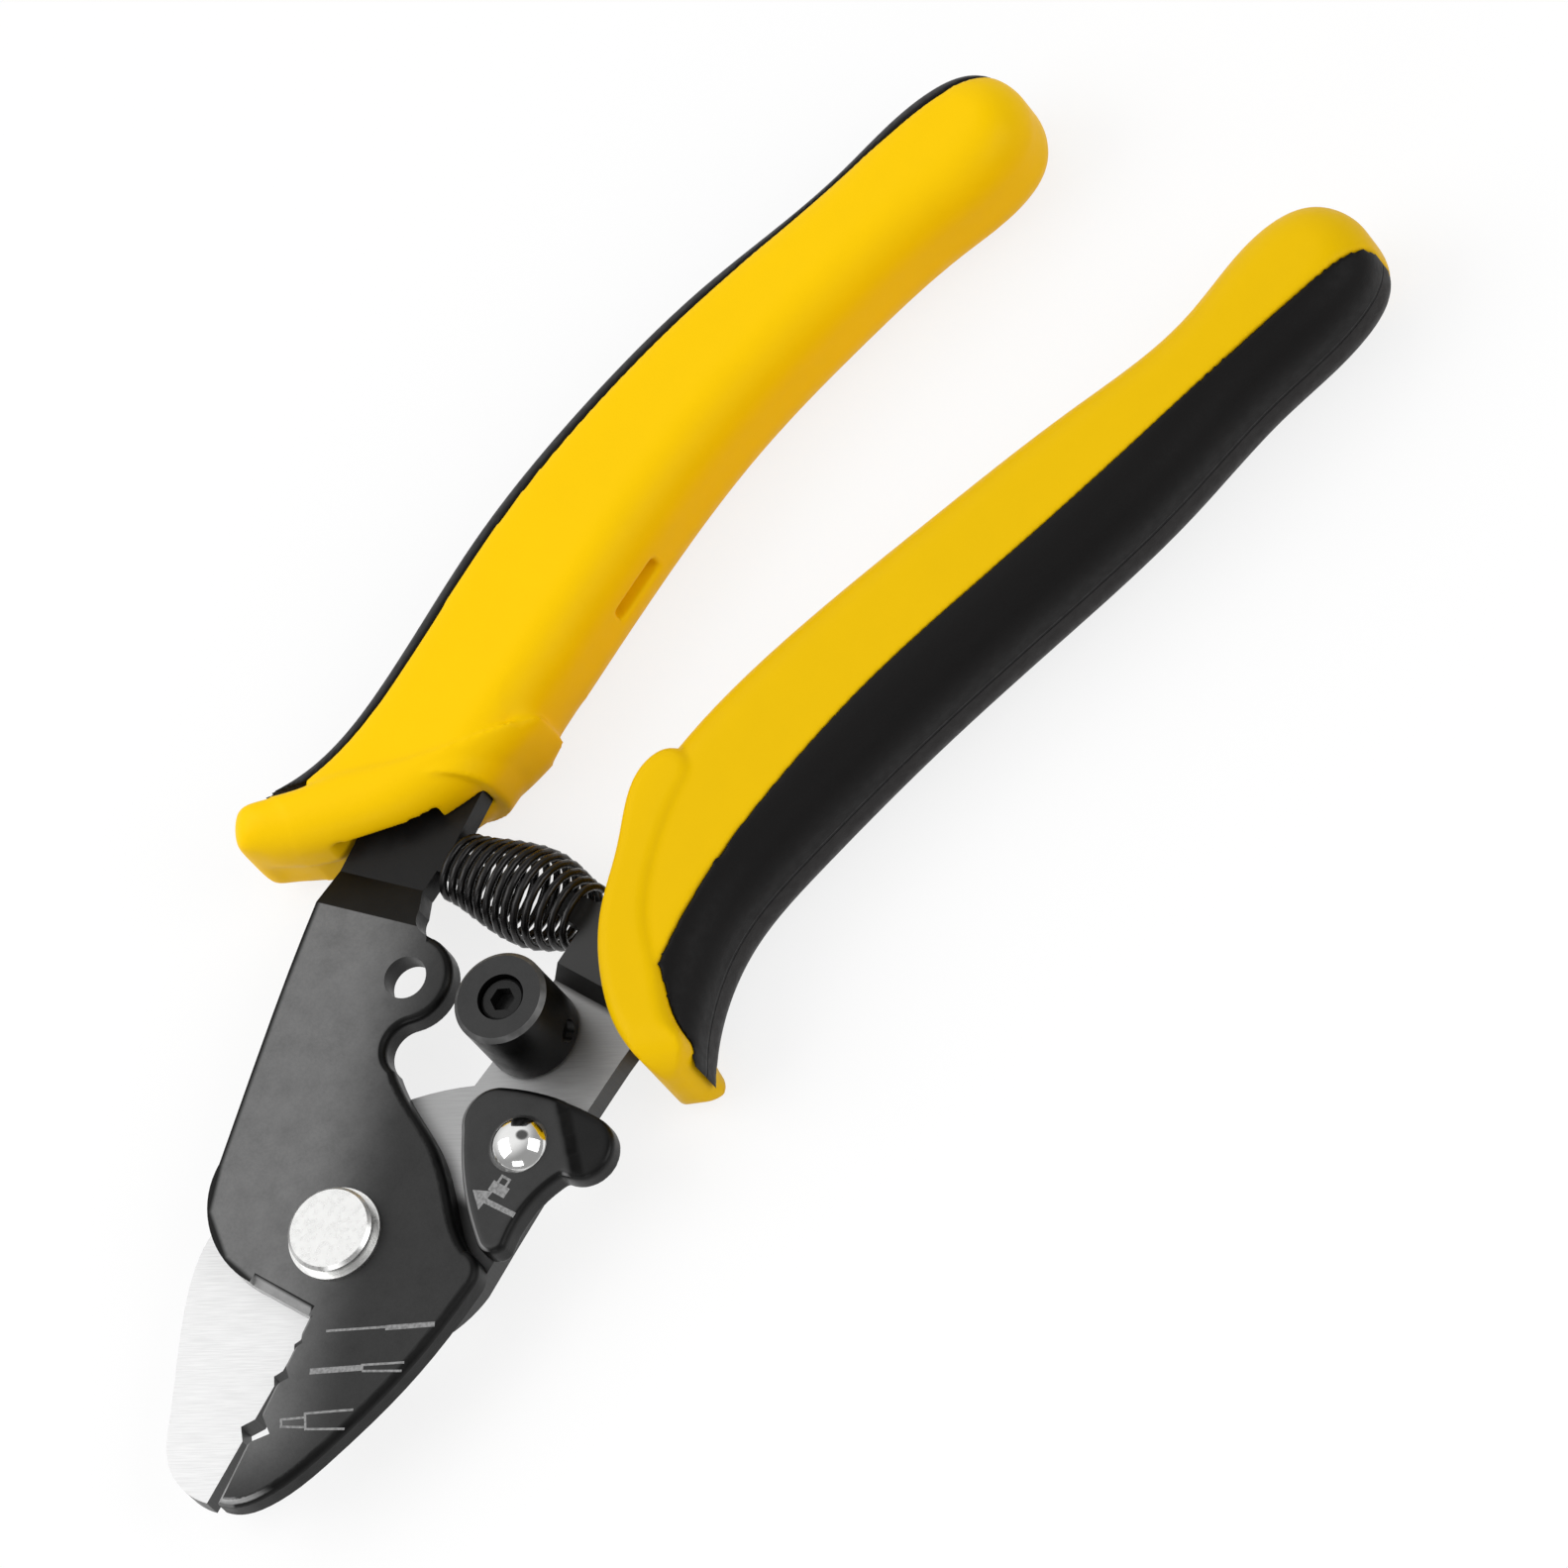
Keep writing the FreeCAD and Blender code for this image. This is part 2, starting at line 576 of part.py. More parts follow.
def circle_on(body, role, name, radius, along=None, up=None, height=None):
    """Circle sketch, moved from the plane's centre by named sizes."""
    sketch = sketch_on(body, role, name)
    if height:
        sketch.AttachmentOffset = FreeCAD.Placement(Vector(0, 0, size(height)), FreeCAD.Rotation())
        sketch.setExpression("AttachmentOffset.Base.z", bound(height))
    centre = Vector(size(along) if along else 0, size(up) if up else 0, 0)
    sketch.addGeometry(Part.Circle(centre, Vector(0, 0, 1), size(radius)), False)
    for kind, words, axis in (("DistanceX", along, -2), ("DistanceY", up, -1)):
        if words:
            number = sketch.addConstraint(Sketcher.Constraint(kind, -1, 1, 0, 3, size(words)))
            sketch.setExpression(f"Constraints[{number}]", bound(words))
        else:
            sketch.addConstraint(Sketcher.Constraint("PointOnObject", 0, 3, axis))
    number = sketch.addConstraint(Sketcher.Constraint("Radius", 0, size(radius)))
    sketch.setExpression(f"Constraints[{number}]", bound(radius))
    return sketch


def hexagon_on(body, name, radius, height=None):
    """Regular hexagon sketch; radius is from its centre to a corner."""
    sketch = sketch_on(body, "XY_Plane", name)
    if height:
        sketch.AttachmentOffset = FreeCAD.Placement(Vector(0, 0, size(height)), FreeCAD.Rotation())
        sketch.setExpression("AttachmentOffset.Base.z", bound(height))
    corners = [Vector(size(radius) * math.cos(math.pi * k / 3), size(radius) * math.sin(math.pi * k / 3), 0)
               for k in range(6)]
    for first, last in zip(corners, corners[1:] + corners[:1]):
        sketch.addGeometry(Part.LineSegment(first, last), False)
    guide = sketch.addGeometry(Part.Circle(Vector(0, 0, 0), Vector(0, 0, 1), size(radius)), True)
    sketch.addConstraint(Sketcher.Constraint("Coincident", guide, 3, -1, 1))
    for index in range(6):
        sketch.addConstraint(Sketcher.Constraint("Coincident", index, 2, (index + 1) % 6, 1))
        sketch.addConstraint(Sketcher.Constraint("PointOnObject", index, 1, guide))
    for index in range(1, 5):
        sketch.addConstraint(Sketcher.Constraint("Equal", 0, index))
    sketch.addConstraint(Sketcher.Constraint("PointOnObject", 0, 1, -1))
    number = sketch.addConstraint(Sketcher.Constraint("Radius", guide, size(radius)))
    sketch.setExpression(f"Constraints[{number}]", bound(radius))
    return sketch


def sink(body, sketch, depth, outwards=False):
    """Cut the sketch into the body, and make sure that it cut something."""
    before = body.Shape.Volume
    pocket = body.newObject("PartDesign::Pocket", sketch.Name + "_cut")
    pocket.Profile = sketch
    pocket.Length = size(depth)
    pocket.setExpression("Length", bound(depth))
    pocket.Reversed = outwards
    document.recompute()
    if body.Shape.Volume > before - 0.01:
        raise ValueError(pocket.Name + " cut nothing")


def pivot_bolt():
    shank = "2 * plate_thick + shear_gap + pivot_float + washer_thick + nut_thick"
    top = shank + " + pivot_head_high"
    return turned_body("pivot_bolt", [
        ("0", "0"), ("pivot_shank_r", "0"), ("pivot_shank_r", shank), ("pivot_head_r", shank),
        ("pivot_head_r", top + " - pivot_head_bevel"), ("pivot_head_r - pivot_head_bevel", top), ("0", top)])


def pivot_nut():
    body = body_with("pivot_nut")
    pad = body.newObject("PartDesign::Pad", "pivot_nut_pad")
    pad.Profile = hexagon_on(body, "pivot_nut_outline", "nut_corner_r")
    pad.Length = size("nut_thick")
    pad.setExpression("Length", bound("nut_thick"))
    document.recompute()
    bore = circle_on(body, "XY_Plane", "pivot_nut_bore", "pivot_shank_r + thread_gap", height="nut_thick")
    sink(body, bore, "nut_thick")
    return body


def stop_sleeve():
    """Round stop. Its bore sits off centre, so turning it moves the stopping face."""
    rim = "stop_r - stop_bevel"
    body = turned_body("stop_sleeve", [
        ("0", "0"), (rim, "0"), ("stop_r", "stop_bevel"), ("stop_r", "stop_high - stop_bevel"),
        (rim, "stop_high"), ("0", "stop_high")])
    bore = circle_on(body, "XY_Plane", "stop_bore", "screw_shank_r + running_gap", "stop_offset",
                     height="stop_high")
    sink(body, bore, "stop_high")
    seat = circle_on(body, "XY_Plane", "stop_counterbore", "counterbore_r", "stop_offset", height="stop_high")
    sink(body, seat, "counterbore_deep")
    side = circle_on(body, "YZ_Plane", "stop_side_hole", "set_screw_r + thread_gap", up="set_screw_up")
    sink(body, side, "2 * stop_r", outwards=True)
    return body


def stop_screw():
    shank = "plate_thick + stop_lift + stop_high - counterbore_deep"
    top = shank + " + screw_head_high"
    body = turned_body("stop_screw", [
        ("0", "0"), ("screw_shank_r", "0"), ("screw_shank_r", shank), ("screw_head_r", shank),
        ("screw_head_r", top + " - screw_bevel"), ("screw_head_r - screw_bevel", top), ("0", top)])
    sink(body, hexagon_on(body, "stop_screw_socket", "screw_socket_r", top), "screw_socket_deep")
    return body


def stop_set_screw():
    body = turned_body("stop_set_screw", [
        ("0", "0"), ("set_screw_r - screw_bevel", "0"), ("set_screw_r", "screw_bevel"),
        ("set_screw_r", "set_screw_long"), ("0", "set_screw_long")])
    socket = hexagon_on(body, "stop_set_screw_socket", "set_screw_socket_r", "set_screw_long")
    sink(body, socket, "set_screw_long / 2")
    return body


# Pieces made from plain solids

def solid(kind, name, **words):
    """Primitive whose properties are bound to named sizes."""
    item = document.addObject(kind, name)
    for prop, text in words.items():
        path = {"Z": "Placement.Base.z", "X": "Placement.Base.x", "Y": "Placement.Base.y"}.get(prop, prop)
        item.setExpression(path, bound(text))
    return item


def joined(kind, name, first, second):
    item = document.addObject(kind, name)
    item.Base, item.Tool = first, second
    item.Label = name
    return item


def ring(name, outer, inner, thick):
    return joined("Part::Cut", name, solid("Part::Cylinder", name + "_disc", Radius=outer, Height=thick),
                  solid("Part::Cylinder", name + "_hole", Radius=inner, Height=thick))


def lock_rivet():
    """Domed rivet: foot, shank and a cap cut from a ball."""
    shank = "plate_thick + spring_washer_thick + lever_thick + lever_float * 2"
    ball = "(rivet_dome_r ^ 2 + rivet_dome_high ^ 2) / (2 * rivet_dome_high)"
    foot = solid("Part::Cylinder", "rivet_foot", Radius="rivet_foot_r", Height="rivet_foot_high",
                 Z="-rivet_foot_high")
    post = solid("Part::Cylinder", "rivet_post", Radius="rivet_shank_r", Height=shank)
    cap = solid("Part::Sphere", "rivet_ball", Radius=ball, Z=f"{shank} + rivet_dome_high - {ball}")
    disc = solid("Part::Cylinder", "rivet_cap_zone", Radius="rivet_dome_r", Height="rivet_dome_high", Z=shank)
    dome = joined("Part::Common", "rivet_dome", cap, disc)
    low = joined("Part::Fuse", "rivet_low", foot, post)
    return joined("Part::Fuse", "lock_rivet", low, dome)


def lock_lever():
    """Flat lever with a nose that blocks the upper jaw's heel, and a round thumb tab."""
    edges = [bow(LEVER_NOSE), curve(LEVER_BELLY), bow(LEVER_TAB), curve(LEVER_FRONT), bow(LEVER_CROWN),
             curve(LEVER_BACK)]
    low = size("spring_washer_thick + lever_float - shear_gap / 2")
    lever = slab(edges, low, low + size("lever_thick"))
    rims = edges_near(lever, low + size("lever_thick"), lambda p: True)
    lever = lever.makeFillet(size("lever_rounding"), rims)
    bore = cylinder(size("rivet_shank_r + running_gap"), -DEEP, DEEP, size("rivet_x"), size("rivet_y"))
    return lever.cut(bore)


# Assembly: each piece with its place about the pivot

def place(item, x="0", y="0", z="0", turn=None):
    """Stand the piece at a place measured from the pivot axis, where the jaws shear."""
    if turn:
        item.Placement = FreeCAD.Placement(Vector(), turn)
    for axis, words in (("x", x), ("y", y), ("z", z)):
        item.setExpression("Placement.Base." + axis, bound(f"pivot_{axis} + {words}"))
    return item


def coded(name, shape):
    """Piece with a free outline, drawn by code from the sheet's sizes."""
    item = document.addObject("Part::Feature", name)
    item.Label = name
    item.Shape = shape
    return item


below = "-shear_gap / 2 - plate_thick"
side_turn = FreeCAD.Rotation(Vector(0, 0, 1), size("set_screw_turn"))
upper_core, upper_pad = upper_grip()
lower_core, lower_pad = lower_grip()
reach = "screw_shank_r + thread_gap + stop_offset"
PIECES = [
    place(coded("upper_jaw", upper_jaw())),
    place(coded("lower_jaw", lower_jaw())),
    place(pivot_bolt(), z=below + " - nut_thick"),
    place(ring("pivot_washer", "washer_r", "pivot_shank_r + running_gap", "washer_thick"),
          z="shear_gap / 2 + plate_thick + pivot_float"),
    place(pivot_nut(), z=below + " - nut_thick"),
    place(coded("lock_lever", lock_lever())),
    place(lock_rivet(), "rivet_x", "rivet_y", below),
    place(ring("lock_washer", "spring_washer_r", "rivet_shank_r + running_gap", "spring_washer_thick"),
          "rivet_x", "rivet_y", "-shear_gap / 2"),
    place(stop_sleeve(), "stop_x", "stop_y", "stop_lift - shear_gap / 2", turn=side_turn),
    place(stop_screw(), SCREW_X, SCREW_Y, below),
    place(stop_set_screw(), f"stop_x + ({reach}) * cos(set_screw_turn * 1deg)",
          f"stop_y + ({reach}) * sin(set_screw_turn * 1deg)", "set_screw_up + stop_lift - shear_gap / 2",
          turn=side_turn.multiply(FreeCAD.Rotation(Vector(0, 1, 0), 90))),
    place(coded("return_spring", return_spring())),
    place(coded("upper_grip_core", upper_core)),
    place(coded("upper_grip_pad", upper_pad)),
    place(coded("lower_grip_core", lower_core)),
    place(coded("lower_grip_pad", lower_pad)),
]
document.recompute()

# The part's origin lies centred under the whole tool, on the plane that it rests on

whole = FreeCAD.BoundBox()
for piece in PIECES:
    whole.add(piece.Shape.optimalBoundingBox(False))
for alias, value in (("pivot_x", -whole.Center.x), ("pivot_y", -whole.Center.y), ("pivot_z", -whole.ZMin)):
    sheet.set(sheet.getCellFromAlias(alias), str(round(value, 4)))
document.recompute()

# Check everything before writing

for item in document.Objects:
    if "Invalid" in item.State or "Error" in item.State:
        raise ValueError(f"{item.Label} failed: {item.State}")
for piece in PIECES:
    shape = piece.Shape
    if shape.isNull() or not shape.isValid() or not shape.Solids:
        raise ValueError(f"{piece.Label} is not a valid solid")

os.makedirs("parts", exist_ok=True)
for piece in PIECES:
    piece.Shape.exportStep(f"parts/{piece.Label}.step")
    box = piece.Shape.optimalBoundingBox(False)
    print(f"{piece.Label:16} solids {len(piece.Shape.Solids)} volume {piece.Shape.Volume:9.1f}  "
          f"x {box.XMin:7.2f} {box.XMax:7.2f}  y {box.YMin:7.2f} {box.YMax:7.2f}  "
          f"z {box.ZMin:6.2f} {box.ZMax:6.2f}")
print("pivot", size("pivot_x"), size("pivot_y"), size("pivot_z"), "screw", size(SCREW_X), size(SCREW_Y))
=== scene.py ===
# %% [markdown]
# # A fibre stripper, dressed around its CAD frame
# A hand tool for optical fibre: two plate jaws that cross at a pivot, a spring that holds them open, a thumb
# lock, a round stop and two grips. The CAD model has the shape of every piece, so it is loaded first and
# never moved. Blender adds the finish: ground steel, black oxide, satin plastic, soft pads, printed marks
# and light. Six nodes are replaced by finer pieces made below: the grips' cores and pads, the lever and the
# spring.

# %% Load the frame
import json
import math

import bpy
from mathutils import Matrix, Vector
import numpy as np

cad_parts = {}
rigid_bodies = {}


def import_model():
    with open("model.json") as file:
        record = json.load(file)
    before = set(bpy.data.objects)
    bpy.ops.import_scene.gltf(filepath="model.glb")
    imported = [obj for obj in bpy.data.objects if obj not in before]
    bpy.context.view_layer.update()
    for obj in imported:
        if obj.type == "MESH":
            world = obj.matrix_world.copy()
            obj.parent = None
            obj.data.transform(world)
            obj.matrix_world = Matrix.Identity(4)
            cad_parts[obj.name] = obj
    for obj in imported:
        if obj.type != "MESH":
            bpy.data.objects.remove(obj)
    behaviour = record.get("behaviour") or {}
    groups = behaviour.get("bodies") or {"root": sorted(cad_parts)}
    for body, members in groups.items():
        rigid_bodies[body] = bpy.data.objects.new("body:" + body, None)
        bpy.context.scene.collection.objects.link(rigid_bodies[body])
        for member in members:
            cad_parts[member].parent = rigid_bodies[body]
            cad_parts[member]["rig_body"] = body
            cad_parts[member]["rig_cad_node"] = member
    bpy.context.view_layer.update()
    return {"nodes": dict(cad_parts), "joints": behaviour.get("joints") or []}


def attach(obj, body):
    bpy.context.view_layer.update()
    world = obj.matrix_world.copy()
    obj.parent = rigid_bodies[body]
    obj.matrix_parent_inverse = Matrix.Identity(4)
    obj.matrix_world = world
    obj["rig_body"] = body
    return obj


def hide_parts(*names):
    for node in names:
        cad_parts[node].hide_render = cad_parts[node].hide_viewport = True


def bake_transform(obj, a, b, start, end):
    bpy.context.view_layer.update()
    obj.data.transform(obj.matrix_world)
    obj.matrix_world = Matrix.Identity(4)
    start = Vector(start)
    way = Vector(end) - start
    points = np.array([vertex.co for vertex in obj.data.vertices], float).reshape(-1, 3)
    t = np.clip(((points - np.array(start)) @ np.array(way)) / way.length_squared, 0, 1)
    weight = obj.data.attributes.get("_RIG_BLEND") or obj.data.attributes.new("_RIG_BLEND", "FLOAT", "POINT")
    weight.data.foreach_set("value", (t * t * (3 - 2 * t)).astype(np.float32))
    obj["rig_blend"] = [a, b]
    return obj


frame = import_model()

# %% [markdown]
# The drawing of this tool measures everything from the pivot, at the height where the two jaws shear past
# each other: X runs to the handles, Y to the upper jaw's handle and Z up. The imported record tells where
# that point is, so one small function turns drawing millimetres into scene metres, and every piece finds
# its place.

# %% Measure from the pivot
MM = 0.001
PIVOT = Vector(next(joint for joint in frame["joints"] if joint["name"] == "jaw_pivot")["pos_m"])


def at(x, y, z=0.0):
    """A point of the drawing, in metres in the scene."""
    return PIVOT + Vector((x, y, z)) * MM


print("pivot at", [round(v, 5) for v in PIVOT])

# %% [markdown]
# Operators work on whatever is selected, and the frame leaves its nodes selected. These helpers select one
# object, apply a modifier for good, and bake an object's place into its mesh, so that it ends up at the
# origin like the CAD nodes do.

# %% Small workshop helpers


def take(*pieces):
    """Select these objects alone; the first one becomes active."""
    bpy.ops.object.select_all(action="DESELECT")
    for piece in pieces:
        piece.select_set(True)
    bpy.context.view_layer.objects.active = pieces[0]
    return pieces[0]


def apply(piece, kind, **settings):
    """Add one modifier with these settings and apply it."""
    modifier = piece.modifiers.new(kind.title(), kind)
    for name, value in settings.items():
        setattr(modifier, name, value)
    take(piece)
    bpy.ops.object.modifier_apply(modifier=modifier.name)


def settle(piece):
    """Put the object's place, turn and size into its mesh."""
    take(piece)
    bpy.ops.object.transform_apply(location=True, rotation=True, scale=True)


def faces_of(piece):
    return sum(len(polygon.vertices) - 2 for polygon in piece.data.polygons)


def dress(piece, name, body, material):
    """Name a finished piece, give it its finish and let it ride on a body."""
    piece.name = name
    piece.data.name = name
    piece.data.materials.clear()
    piece.data.materials.append(material)
    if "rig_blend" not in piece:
        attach(piece, body)
    print(name, "triangles", faces_of(piece))
    return piece


# %% [markdown]
# A material is a small network of nodes. Wiring them by hand takes four lines a node, so this class keeps
# the wiring short: it adds a node, sets its sockets from plain values or from other nodes' outputs, and
# returns the output. The same class fills shader node groups, which several finishes share.

# %% A short way to wire nodes


class Wiring:
    """Adds nodes to one tree and links them."""

    def __init__(self, tree):
        self.tree = tree

    def fill(self, made, inputs):
        """Set a node's sockets from values, or link them from other nodes' outputs."""
        for socket, value in inputs.items():
            if isinstance(value, bpy.types.NodeSocket):
                self.tree.links.new(value, made.inputs[socket])
            else:
                made.inputs[socket].default_value = value

    def node(self, kind, inputs=None, output=0, **settings):
        """Add a node and return one of its outputs."""
        made = self.tree.nodes.new(kind)
        for name, value in settings.items():
            setattr(made, name, value)
        self.fill(made, inputs or {})
        return made.outputs[output]

    def maths(self, operation, *values):
        return self.node("ShaderNodeMath", dict(enumerate(values)), operation=operation)

    def step(self, value, low, high, first=0.0, last=1.0):
        """Smooth ramp of a value from low to high."""
        sockets = {"Value": value, "From Min": low, "From Max": high, "To Min": first, "To Max": last}
        return self.node("ShaderNodeMapRange", sockets, interpolation_type="SMOOTHSTEP")

    def mix(self, share, first, second):
        """Colour between two colours."""
        colours = {0: share, 6: first, 7: second}
        return self.node("ShaderNodeMix", colours, output=2, data_type="RGBA")

    def times(self, colour, shade):
        """Colour made lighter or darker by a factor."""
        factor = self.node("ShaderNodeCombineXYZ", {"X": shade, "Y": shade, "Z": shade})
        return self.node("ShaderNodeVectorMath", {0: colour, 1: factor}, operation="MULTIPLY")

    def towards(self, vector, way):
        """How far a vector points along a direction."""
        return self.node("ShaderNodeVectorMath", {0: vector, 1: Vector(way)},
                         output="Value", operation="DOT_PRODUCT")

    def along(self, place, point, way):
        """How far a place lies past a point of the drawing, in metres, measured along a direction."""
        offset = self.node("ShaderNodeVectorMath", {0: place, 1: at(*point)}, operation="SUBTRACT")
        return self.towards(offset, Vector(way).normalized())

    def upright(self):
        """How far the surface faces up: 1 on top, 0 on a wall, -1 underneath."""
        normal = self.node("ShaderNodeTexCoord", output="Normal")
        return self.node("ShaderNodeSeparateXYZ", {"Vector": normal}, output="Z")

    def both(self, *masks):
        """Product of masks: where all of them hold."""
        product = masks[0]
        for mask in masks[1:]:
            product = self.maths("MULTIPLY", product, mask)
        return product

    def noise(self, place, scale, detail=3.0, roughness=0.55):
        sockets = {"Vector": place, "Scale": scale, "Detail": detail, "Roughness": roughness}
        return self.node("ShaderNodeTexNoise", sockets)


def grey(level):
    return (level, level, level, 1.0)


# %% [markdown]
# Three effects turn up on many finishes here. *Rounded edges*: a face that rolls over an edge gets a tone of
# its own, a painted reflection.
# The plates and the stop have flat or upright faces, so there a normal that points neither up nor sideways
# marks an edge. *Mottle*: oxide, steel and plastic are never one even tone. *Fine grain*: a tiny relief that
# breaks up reflections. Each is a node group, built once.

# %% Shared effects as node groups


def new_group(name, sockets_in, sockets_out):
    """Node group with named sockets; returns it, its wiring, and its given and its result sockets."""
    group = bpy.data.node_groups.new(name, "ShaderNodeTree")
    for socket, kind in sockets_in:
        group.interface.new_socket(socket, in_out="INPUT", socket_type=kind)
    for socket, kind in sockets_out:
        group.interface.new_socket(socket, in_out="OUTPUT", socket_type=kind)
    inputs = group.nodes.new("NodeGroupInput")
    outputs = group.nodes.new("NodeGroupOutput")
    return group, Wiring(group), inputs.outputs, outputs.inputs


FLOAT, VECTOR = "NodeSocketFloat", "NodeSocketVector"

edges_group, wiring, given, result = new_group(
    "rounded_edges", [("Low", FLOAT), ("High", FLOAT)], [("Mask", FLOAT)])
upright = wiring.maths("ABSOLUTE", wiring.upright())
rising = wiring.step(upright, given["Low"], 0.55)
falling = wiring.step(upright, given["High"], 0.995, 1.0, 0.0)
wiring.tree.links.new(wiring.maths("MULTIPLY", rising, falling), result["Mask"])

mottle_group, wiring, given, result = new_group(
    "mottle", [("Place", VECTOR), ("Scale", FLOAT), ("Contrast", FLOAT)], [("Shade", FLOAT)])
broad = wiring.noise(given["Place"], given["Scale"], 4.0)
fine = wiring.noise(given["Place"], wiring.maths("MULTIPLY", given["Scale"], 6.5), 2.0)
clouds = wiring.maths("ADD", wiring.maths("MULTIPLY", broad, 0.65), wiring.maths("MULTIPLY", fine, 0.35))
swing = wiring.maths("MULTIPLY", wiring.maths("SUBTRACT", clouds, 0.5), given["Contrast"])
wiring.tree.links.new(wiring.maths("ADD", swing, 1.0), result["Shade"])

grain_group, wiring, given, result = new_group(
    "fine_grain", [("Place", VECTOR), ("Scale", FLOAT), ("Depth", FLOAT)], [("Normal", VECTOR)])
relief = wiring.noise(given["Place"], given["Scale"], 2.0, 0.6)
bump = wiring.node("ShaderNodeBump", {"Strength": 1.0, "Distance": given["Depth"], "Height": relief})
wiring.tree.links.new(bump, result["Normal"])
print("groups", [group.name for group in bpy.data.node_groups])

# %% [markdown]
# All finishes start the same way: a Principled shader whose fixed numbers are set on its own sockets, and a
# wiring to add what varies over the surface. Object coordinates are used throughout. Every piece has its
# place in its mesh, so one pattern runs on from piece to piece.

# %% Start of every material


def new_material(name, **fixed):
    """Principled material; fixed numbers go straight on the shader's sockets."""
    material = bpy.data.materials.new(name)
    material.use_nodes = True
    shader = material.node_tree.nodes["Principled BSDF"]
    for socket, value in fixed.items():
        shader.inputs[socket.replace("_", " ")].default_value = value
    wiring = Wiring(material.node_tree)
    place = wiring.node("ShaderNodeTexCoord", output="Object")
    return material, wiring, place, shader


def use(wiring, group, output, **sockets):
    """One of the shared groups, with its values."""
    return wiring.node("ShaderNodeGroup", sockets, output, node_tree=group)


def feed(wiring, shader, **sockets):
    """Link what varies over the surface to the shader."""
    for socket, value in sockets.items():
        wiring.tree.links.new(value, shader.inputs[socket.replace("_", " ")])


# %% [markdown]
# ## Black oxide
# The upper jaw, the lever and the stop are steel with a black finish, taken here to be oxide: a dark grey
# with a soft cloudy tone. The walls are painted darker than the flat faces, as painted shade. In patches the
# rounded rims have a tone of their own, a painted reflection: dark on the jaw and the lever, light on the
# stop and its screws. One recipe takes the three tones, and extra adds what a single piece shows.

# %% Black oxide materials


def oxide(name, face, wall_shade, edge, cloud=0.3, rough=0.4, extra=None):
    """Blackened steel: tone of the flat faces, of the upright walls as painted shade, and of the rounded
    edges as a painted reflection.
    """
    material, wiring, place, shader = new_material(name, Metallic=0.3, Specular_IOR_Level=0.24)
    upright = wiring.upright()
    # Painted shade: the upright walls take a darker tone than the flat faces.
    flat = wiring.step(wiring.maths("ABSOLUTE", upright), 0.94, 0.998)
    tone = wiring.mix(flat, grey(wall_shade), grey(face))
    # Painted reflection: in patches the rounded rims take a tone of their own.
    painted_rim_sheen = use(wiring, edges_group, "Mask", Low=0.1, High=0.75)
    patchy = wiring.step(wiring.noise(place, 260.0), 0.35, 0.7, 0.35, 1.0)
    tone = wiring.mix(wiring.both(painted_rim_sheen, patchy), tone, grey(edge))
    if extra:
        tone = extra(wiring, place, upright, tone)
    shade = use(wiring, mottle_group, "Shade", Place=place, Scale=420.0, Contrast=cloud)
    tone = wiring.times(tone, shade)
    roughness = wiring.step(wiring.noise(place, 420.0), 0.3, 0.7, rough - 0.07, rough + 0.07)
    grain = use(wiring, grain_group, "Normal", Place=place, Scale=5200.0, Depth=0.000012)
    feed(wiring, shader, Base_Color=tone, Roughness=roughness, Normal=grain)
    return material


JAW_OUTER = [(30.2, 25.2), (20.2, 22.7), (9.0, 19.5), (0.5, 17.0), (-4.6, 14.9), (-8.1, 9.9), (-8.8, 5.7)]
CUTTING_EDGE = (-8.7, -2.7)


